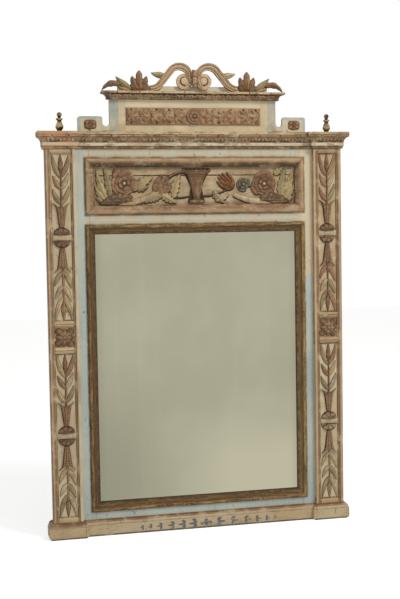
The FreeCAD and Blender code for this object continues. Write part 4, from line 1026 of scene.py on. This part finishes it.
# carved band of the attic: leaves that lie towards a flower in its middle
atticBand = {
    "half": 221.0, "tall": 26.5, "thick": 5.0, "middle": 1333.0, "face": 23.0, "leaves": 5, "flower": 25.5,
    "petals": ((8, 1.0, 0, 0, 0.2), (6, 0.62, 1.6, 1, 0.5)), "cut": 3.2, "cuts": 11, "cutReach": (205.0, 20.5),
}
v = atticBand
pitch = (v["half"] - v["flower"] - 4) / v["leaves"]
face, middle = v["face"] - v["thick"], v["middle"]
leafMotif = Carving()
leafMotif.leaf((pitch / 2 - 3, 0), (-pitch / 2, 0), 8, 0, "clay", 4.6, edge=1.2, steps=12)
for tip, width, foot in (((-pitch / 4, 19), 6, (pitch / 3, 2)), ((pitch / 3, 21), 5, (pitch / 2 - 4, 3))):
    for side in (1, -1):
        leafMotif.leaf((foot[0], side * foot[1]), (tip[0], side * tip[1]), width, 0, "clay", 4.6, edge=1.2,
                       steps=12)
ground = Carving()
ground.slab(-v["half"], v["half"], middle - v["tall"], middle + v["tall"], v["face"], v["thick"], "rose")
bloom(ground, 0, middle, v["flower"], face, v["petals"], ("terracotta", "clay", "clay"), 2.4, 4.0)
first, last = v["flower"] + 2 + pitch / 2, v["half"] - 2 - pitch / 2
rows = [(first, last, face, middle, v["leaves"])]
setOutRuns("atticBand", leafMotif, runsOf(rows), "band", 0.03, 4, ["attic_carved_band"], ground=ground)
leafMotif.points = [(-x, y, z) for x, y, z in leafMotif.points]
rows = [(-first, -last, face, middle, v["leaves"])]
setOutRuns("atticBandLeft", leafMotif, runsOf(rows), "band", 0.03, 9)
across, upward = v["cutReach"]  # small dark cuts along the band's two edges
rows = [(-across, across, face, middle + rise, v["cuts"]) for rise in (-upward, upward)]
setOutRuns("atticBandCuts", darkDot(v["cut"], 0.3), runsOf(rows), "band", 0.35, 12)

# running leaves in the coves of the two cornices, tilted with them, and dark pegs along their lips
coveLeaves = {
    "half": 15.0,
    "attic": {"tilt": 51.3, "tones": ("clay", "clay", "ochre"), "runs": ((-252, 252, 8.4, 1395.4, 16),)},
    "main": {"tilt": 34.0, "tones": ("clay", "tan", "tan"),
             "runs": ((-354, 354, -10.9, 1258.1, 22), (398, 474, -25.9, 1258.1, 3))},
    "break": {"tilt": 34.0, "tones": ("brick", "buff", "ivoryPale"), "runs": ((-474, -398, -25.9, 1258.1, 3),)},
    "peg": 2.3, "pegs": ((-252, 252, -3.0, 1406.4, 8), (-345, 345, -21.0, 1267.6, 11),
                         (-462, -412, -36.0, 1267.6, 2), (412, 462, -36.0, 1267.6, 2)),
}
half = coveLeaves["half"]
for part, seed in (("attic", 6), ("main", 16), ("break", 26)):
    v = coveLeaves[part]
    motif = Carving()
    for side, tone in zip((-1, 1), v["tones"]):
        motif.leaf((side * half, -5.5), (side * 1.5, 6.0), 5.6, 0, tone, 3.4, edge=1.2, bend=side * 2.5,
                   lobes=2, steps=14)
    motif.leaf((0, -7.0), (0, 6.5), 4.2, -0.8, v["tones"][2], 3.2, edge=1.0, steps=12, shape="broad")
    runs = runsOf(v["runs"], (radians(v["tilt"]), 0, 0))
    setOutRuns(part + "CorniceLeaves", motif, runs, "corniceLeaves", 0.12, seed)
setOutRuns("cornicePegs", darkDot(coveLeaves["peg"], 0.5), runsOf(coveLeaves["pegs"]), "band", 0.25, 21)

# small paterae of the shoulders
patera = {
    "across": 336.0, "level": 1306.5, "half": (20.0, 15.0), "flower": 13.5, "top": 21.0,
    "leaf": ((4.0, 2.0), (16.5, 10.0)),  # foot and tip
    "rows": ((23.25, 0.0, 0.0), (22.4, 0.0, 0.5), (21.0, 1.8, 0.9)),  # depth, inset and rise
    "petals": ((6, 1.0, 0, 0, 0.2), (5, 0.66, 1.2, 1, 0.6)),
}
v = patera
w, h = v["half"]
turn = np.array(around(28))
oval = [np.sign(wave) * np.abs(wave) ** 0.55 for wave in (np.cos(turn), np.sin(turn))]
c = Carving()
for side in (-1, 1):
    x, z = side * v["across"], v["level"]
    rings = [[(x + (w - i) * p, y, z + (h - i) * q) for p, q in zip(*oval)] for y, i, _ in v["rows"]]
    c.rings(rings, [[r] * len(turn) for _, _, r in v["rows"]], "umber")
    for across, upward in ((-1, -1), (-1, 1), (1, -1), (1, 1)):
        foot, tip = ((x + across * p, z + upward * q) for p, q in v["leaf"])
        # each leaf lies on a dark margin painted as its shadow
        c.leaf(foot, tip, 6.5, v["top"], "rose", 2.6, steps=12, darkening=(1.0, 0.1))
    bloom(c, x, z, v["flower"], v["top"], v["petals"], ("terracotta", "mauve", "terracotta"), 2.2, 3.0)
c.build("shoulderPaterae", "band", ["shoulder_paterae"])

# worn leaf tips along the bead of the gilded moulding
sightRow = {"outer": 361.0, "bottom": 77.0, "top": 990.0, "inset": 4.2, "corner": 8.0, "face": -5.2,
            "pitch": 15.0, "size": (6.4, 3.6)}
v = sightRow
long, width = v["size"]
tip = Carving()
tip.leaf((-long, 0), (long, 0), width, 0, "gold", 1.5, edge=0.5, steps=8, veins=2)
reach, low, high = v["outer"] - v["inset"], v["bottom"] + v["inset"], v["top"] - v["inset"]
wide, tall = int(2 * reach / v["pitch"]), int((high - low) / v["pitch"])
face, corner = v["face"], v["corner"]
runs = runsOf([(corner - reach, reach - corner, face, z, wide) for z in (low, high)])
runs += runsUp((-reach, reach), face, low + corner, high - corner, tall, (0, pi / 2, 0))
setOutRuns("sightLeafTips", tip, runs, "gilding", 0.12, 5)

# nails of the backboards and batten, screws of the hanging plates
nailHead = {
    "radius": 3.2, "height": 1.0, "flush": 0.05,  # the batten's heads lie flush, against the wall
    "boards": [(x, x + 160, 33.0, z, 3) for x in (-326.5, -81.5, 163.5) for z in (84, 982)],
    # places across, depth, lower and upper level
    "plates": ((-415.5, 415.5), 27.0, 1227, 1243), "batten": ((-440, -400, 400, 440), 36.95, 1085, 1140),
}
v = nailHead
nail, flushNail = Carving(), Carving()
for head, height in ((nail, v["height"]), (flushNail, v["flush"])):
    head.knob(0, 0, v["radius"], 0, height, "brown", turns=10)
back = (pi, 0, 0)
runs = runsOf(v["boards"], back) + runsUp(*v["plates"], 2, back)
setOutRuns("backNails", nail, runs, "iron", 0.05, 7)
setOutRuns("battenNails", flushNail, runsUp(*v["batten"], 2, back), "iron", 0.0, 8)

# turned brass finials
finial = {
    "across": pilasterAcross, "depth": -11.0, "foot": 1281.0, "turns": 32,
    # height and radius up the turning
    "profile": (
        (0, 8.4), (2, 8.4), (3.2, 7.2), (4.4, 8.0), (7, 10.2), (10.5, 12.0), (14, 12.5), (17.5, 12.0),
        (21, 10.6), (24.5, 8.9), (28, 7.4), (31.5, 6.2), (33, 6.0), (34, 8.2), (35.4, 10.2), (37.6, 10.6),
        (39.6, 9.8), (41, 7.2), (42, 5.0), (44, 4.4), (45.4, 5.0), (47, 6.6), (49.5, 7.7), (52, 8.0),
        (54.5, 7.4), (56.8, 5.6), (58.3, 3.2), (59, 0.4)),
}
v = finial
c = Carving()
for side in (-1, 1):
    rings = [[(side * v["across"] + r * cos(b), v["depth"] + r * sin(b), v["foot"] + z)
              for b in around(v["turns"])] for z, r in v["profile"]]
    # lower rise in the turned necks and at the foot, which the brass finish darkens: tarnish and painted shade
    rises = [min(max((r - 4.2) / 5.5, 0.05), 1) * (0.3 if z < 5 else 1) for z, r in v["profile"]]
    c.rings(rings, [[h] * v["turns"] for h in rises], "gold")
c.build("turnedFinials", "brass", ["finials"], "brass")

# hanging rings of round wire
hangRing = {"across": 415.5, "depth": 29.4, "pin": 1212.0, "half": 12.5, "drop": 22.0, "corner": 7.0,
            "wire": 1.8, "turns": 12}
v = hangRing
half, drop, corner, wire = (v[key] for key in ("half", "drop", "corner", "wire"))
arc = [(half - corner + corner * cos(b), corner - drop - corner * sin(b))
       for b in np.linspace(0, pi / 2, 9)]
line = [(half, 0.0)] + arc + [(-x, z) for x, z in reversed(arc)] + [(-half, 0.0)]
line = np.array(line + [(x, 0.0) for x in np.linspace(-half + 3, half - 3, 5)])
for hand, side in hands.items():
    c = Carving()
    rings = []
    for i, (x, z) in enumerate(line):
        run = line[(i + 1) % len(line)] - line[i - 1]
        d = wire * run / np.linalg.norm(run)
        rings.append([(side * v["across"] + x + d[1] * cos(b), v["depth"] + wire * sin(b),
                       v["pin"] + z - d[0] * cos(b)) for b in around(v["turns"])])
    c.rings(rings, [[1] * v["turns"]] * len(rings), "grimeAndShade", closed=True)
    c.build("hangingRing." + hand, "iron", ["hanger_ring_" + hand], "iron", "ring_" + hand)

# brush strokes of the painted ornament on the plinth
plinthMotif = {
    "face": -14.0, "level": 18.5, "cross": 10.0, "thick": 0.3, "crown": 0.05,
    "left": (-36, -72, -108, -146, -178, -204), "right": (62, 108, 152, 188, 220, 246),
    "arms": ((0, 14.5), (0, -14.5), (20, 0), (-20, 0)),
    # reach, rise, half width and bend of the strokes of one leaf
    "strokes": ((2, 11, 5.0, -4), (11, 1, 3.2, 0), (2, -10, 4.6, 4)),
}
v = plinthMotif
c = Carving()
x, z, face, crown = v["cross"], v["level"], v["face"], v["crown"]
c.knob(x, z, 5.0, face, 0.25, "blue", turns=14)
for dx, dz in v["arms"]:
    c.leaf((x + dx * 0.1, z + dz * 0.1), (x + dx, z + dz), 6.0, face, "blue", crown, edge=v["thick"],
           shape="broad", steps=12)
for hand, side in hands.items():
    for i, x in enumerate(v[hand]):
        size = 1.25 - 0.13 * i
        for reach, rise, width, bend in v["strokes"]:
            tip = (x + side * reach * size, z + rise * size)
            c.leaf((x - side * 9 * size, z), tip, width * size, face, "blue", crown, edge=v["thick"],
                   bend=side * bend * size, steps=12)
c.build("plinthOrnament", "brush", slot="pale_blue_paint")
print("ornament, nails, finials and rings made")

# floor, light and camera
stage = {"floorHalf": 9, "floorGlow": 0.62, "skyLight": 0.36, "aim": (0, 0, 0.8), "tint": (1.0, 0.965, 0.90),
         # place, size and power of each lamp
         "lamps": {"key": ((1.7, -2.4, 3.9), 1.1, 96), "fill": ((0.4, -4.4, 1.5), 2.6, 26)}}
scene = bpy.context.scene
reach = stage["floorHalf"]
floorMesh = bpy.data.meshes.new("floor")
corners = [(-reach, -reach, 0), (reach, -reach, 0), (reach, reach, 0), (-reach, reach, 0)]
floorMesh.from_pydata(corners, [], [(0, 1, 2, 3)])
floorPlane = place("floor", floorMesh)
s = Shade("paleFloor")
rays = s.add("ShaderNodeLightPath").outputs
s.link((1, 1, 1), s.bsdf.inputs["Emission Color"])
s.link(s.times(rays["Is Camera Ray"], stage["floorGlow"]), s.bsdf.inputs["Emission Strength"])
s.colour = (0.82, 0.82, 0.81)
s.finish(0.9)
mirrored = s.most(rays["Is Glossy Ray"], rays["Is Transmission Ray"])
even = s.add("ShaderNodeEmission").outputs[0]
choose = s.node("ShaderNodeMixShader", {0: mirrored, 1: s.bsdf.outputs[0], 2: even})
s.link(choose.outputs[0], s.tree.nodes["Material Output"].inputs["Surface"])
floorMesh.materials.append(s.mat)

# the sky is white where it is seen or mirrored, and lights the part more softly
scene.world = bpy.data.worlds.new("studio")
scene.world.use_nodes = True
tree = scene.world.node_tree
sky = tree.nodes["Background"]
rays, seen, seenMore, level = (tree.nodes.new("ShaderNode" + kind)
                               for kind in ("LightPath", "Math", "Math", "MapRange"))
seen.operation = seenMore.operation = "MAXIMUM"
joinNodes(tree, (
    (rays, "Is Camera Ray", seen, 0), (rays, "Is Glossy Ray", seen, 1), (seen, 0, seenMore, 0),
    (rays, "Is Transmission Ray", seenMore, 1), (seenMore, 0, level, 0), (level, 0, sky, "Strength")))
level.inputs[3].default_value, level.inputs[4].default_value = stage["skyLight"], 1.0
sky.inputs["Color"].default_value = (1, 1, 1, 1)

for name, (spot, size, power) in stage["lamps"].items():
    lamp = bpy.data.lights.new(name, "AREA")
    lamp.size, lamp.energy, lamp.color = size, power, stage["tint"]
    lampObject = place(name, lamp)
    lampObject.location = spot
    lampObject.rotation_euler = (Vector(stage["aim"]) - Vector(spot)).to_track_quat("-Z", "Y").to_euler()
    lampObject.visible_glossy = False

view = {"spot": (-0.866, -3.598, 0.978), "yaw": 13.6, "pitch": -3.6, "roll": -0.95,
        "focal": 1150.0, "longSide": 599.0}  # the last two in pixels
camera = bpy.data.cameras.new("camera")
camera.lens = view["focal"] * camera.sensor_width / view["longSide"]
cameraObject = place("camera", camera)
yaw, pitch, roll = (radians(view[k]) for k in ("yaw", "pitch", "roll"))
ahead = Vector((sin(yaw) * cos(pitch), cos(yaw) * cos(pitch), sin(pitch)))
across = Vector((cos(yaw), -sin(yaw), 0))
upward = across.cross(ahead)
level, tilt = cos(roll), sin(roll)
turn = cameraObject.matrix_world.to_3x3()
turn.col[0], turn.col[1] = level * across + tilt * upward, level * upward - tilt * across
turn.col[2] = -ahead
cameraObject.matrix_world = turn.to_4x4()
cameraObject.location = view["spot"]
scene.camera = cameraObject
scene.view_settings.view_transform = "Standard"
print("stage, light and camera set")
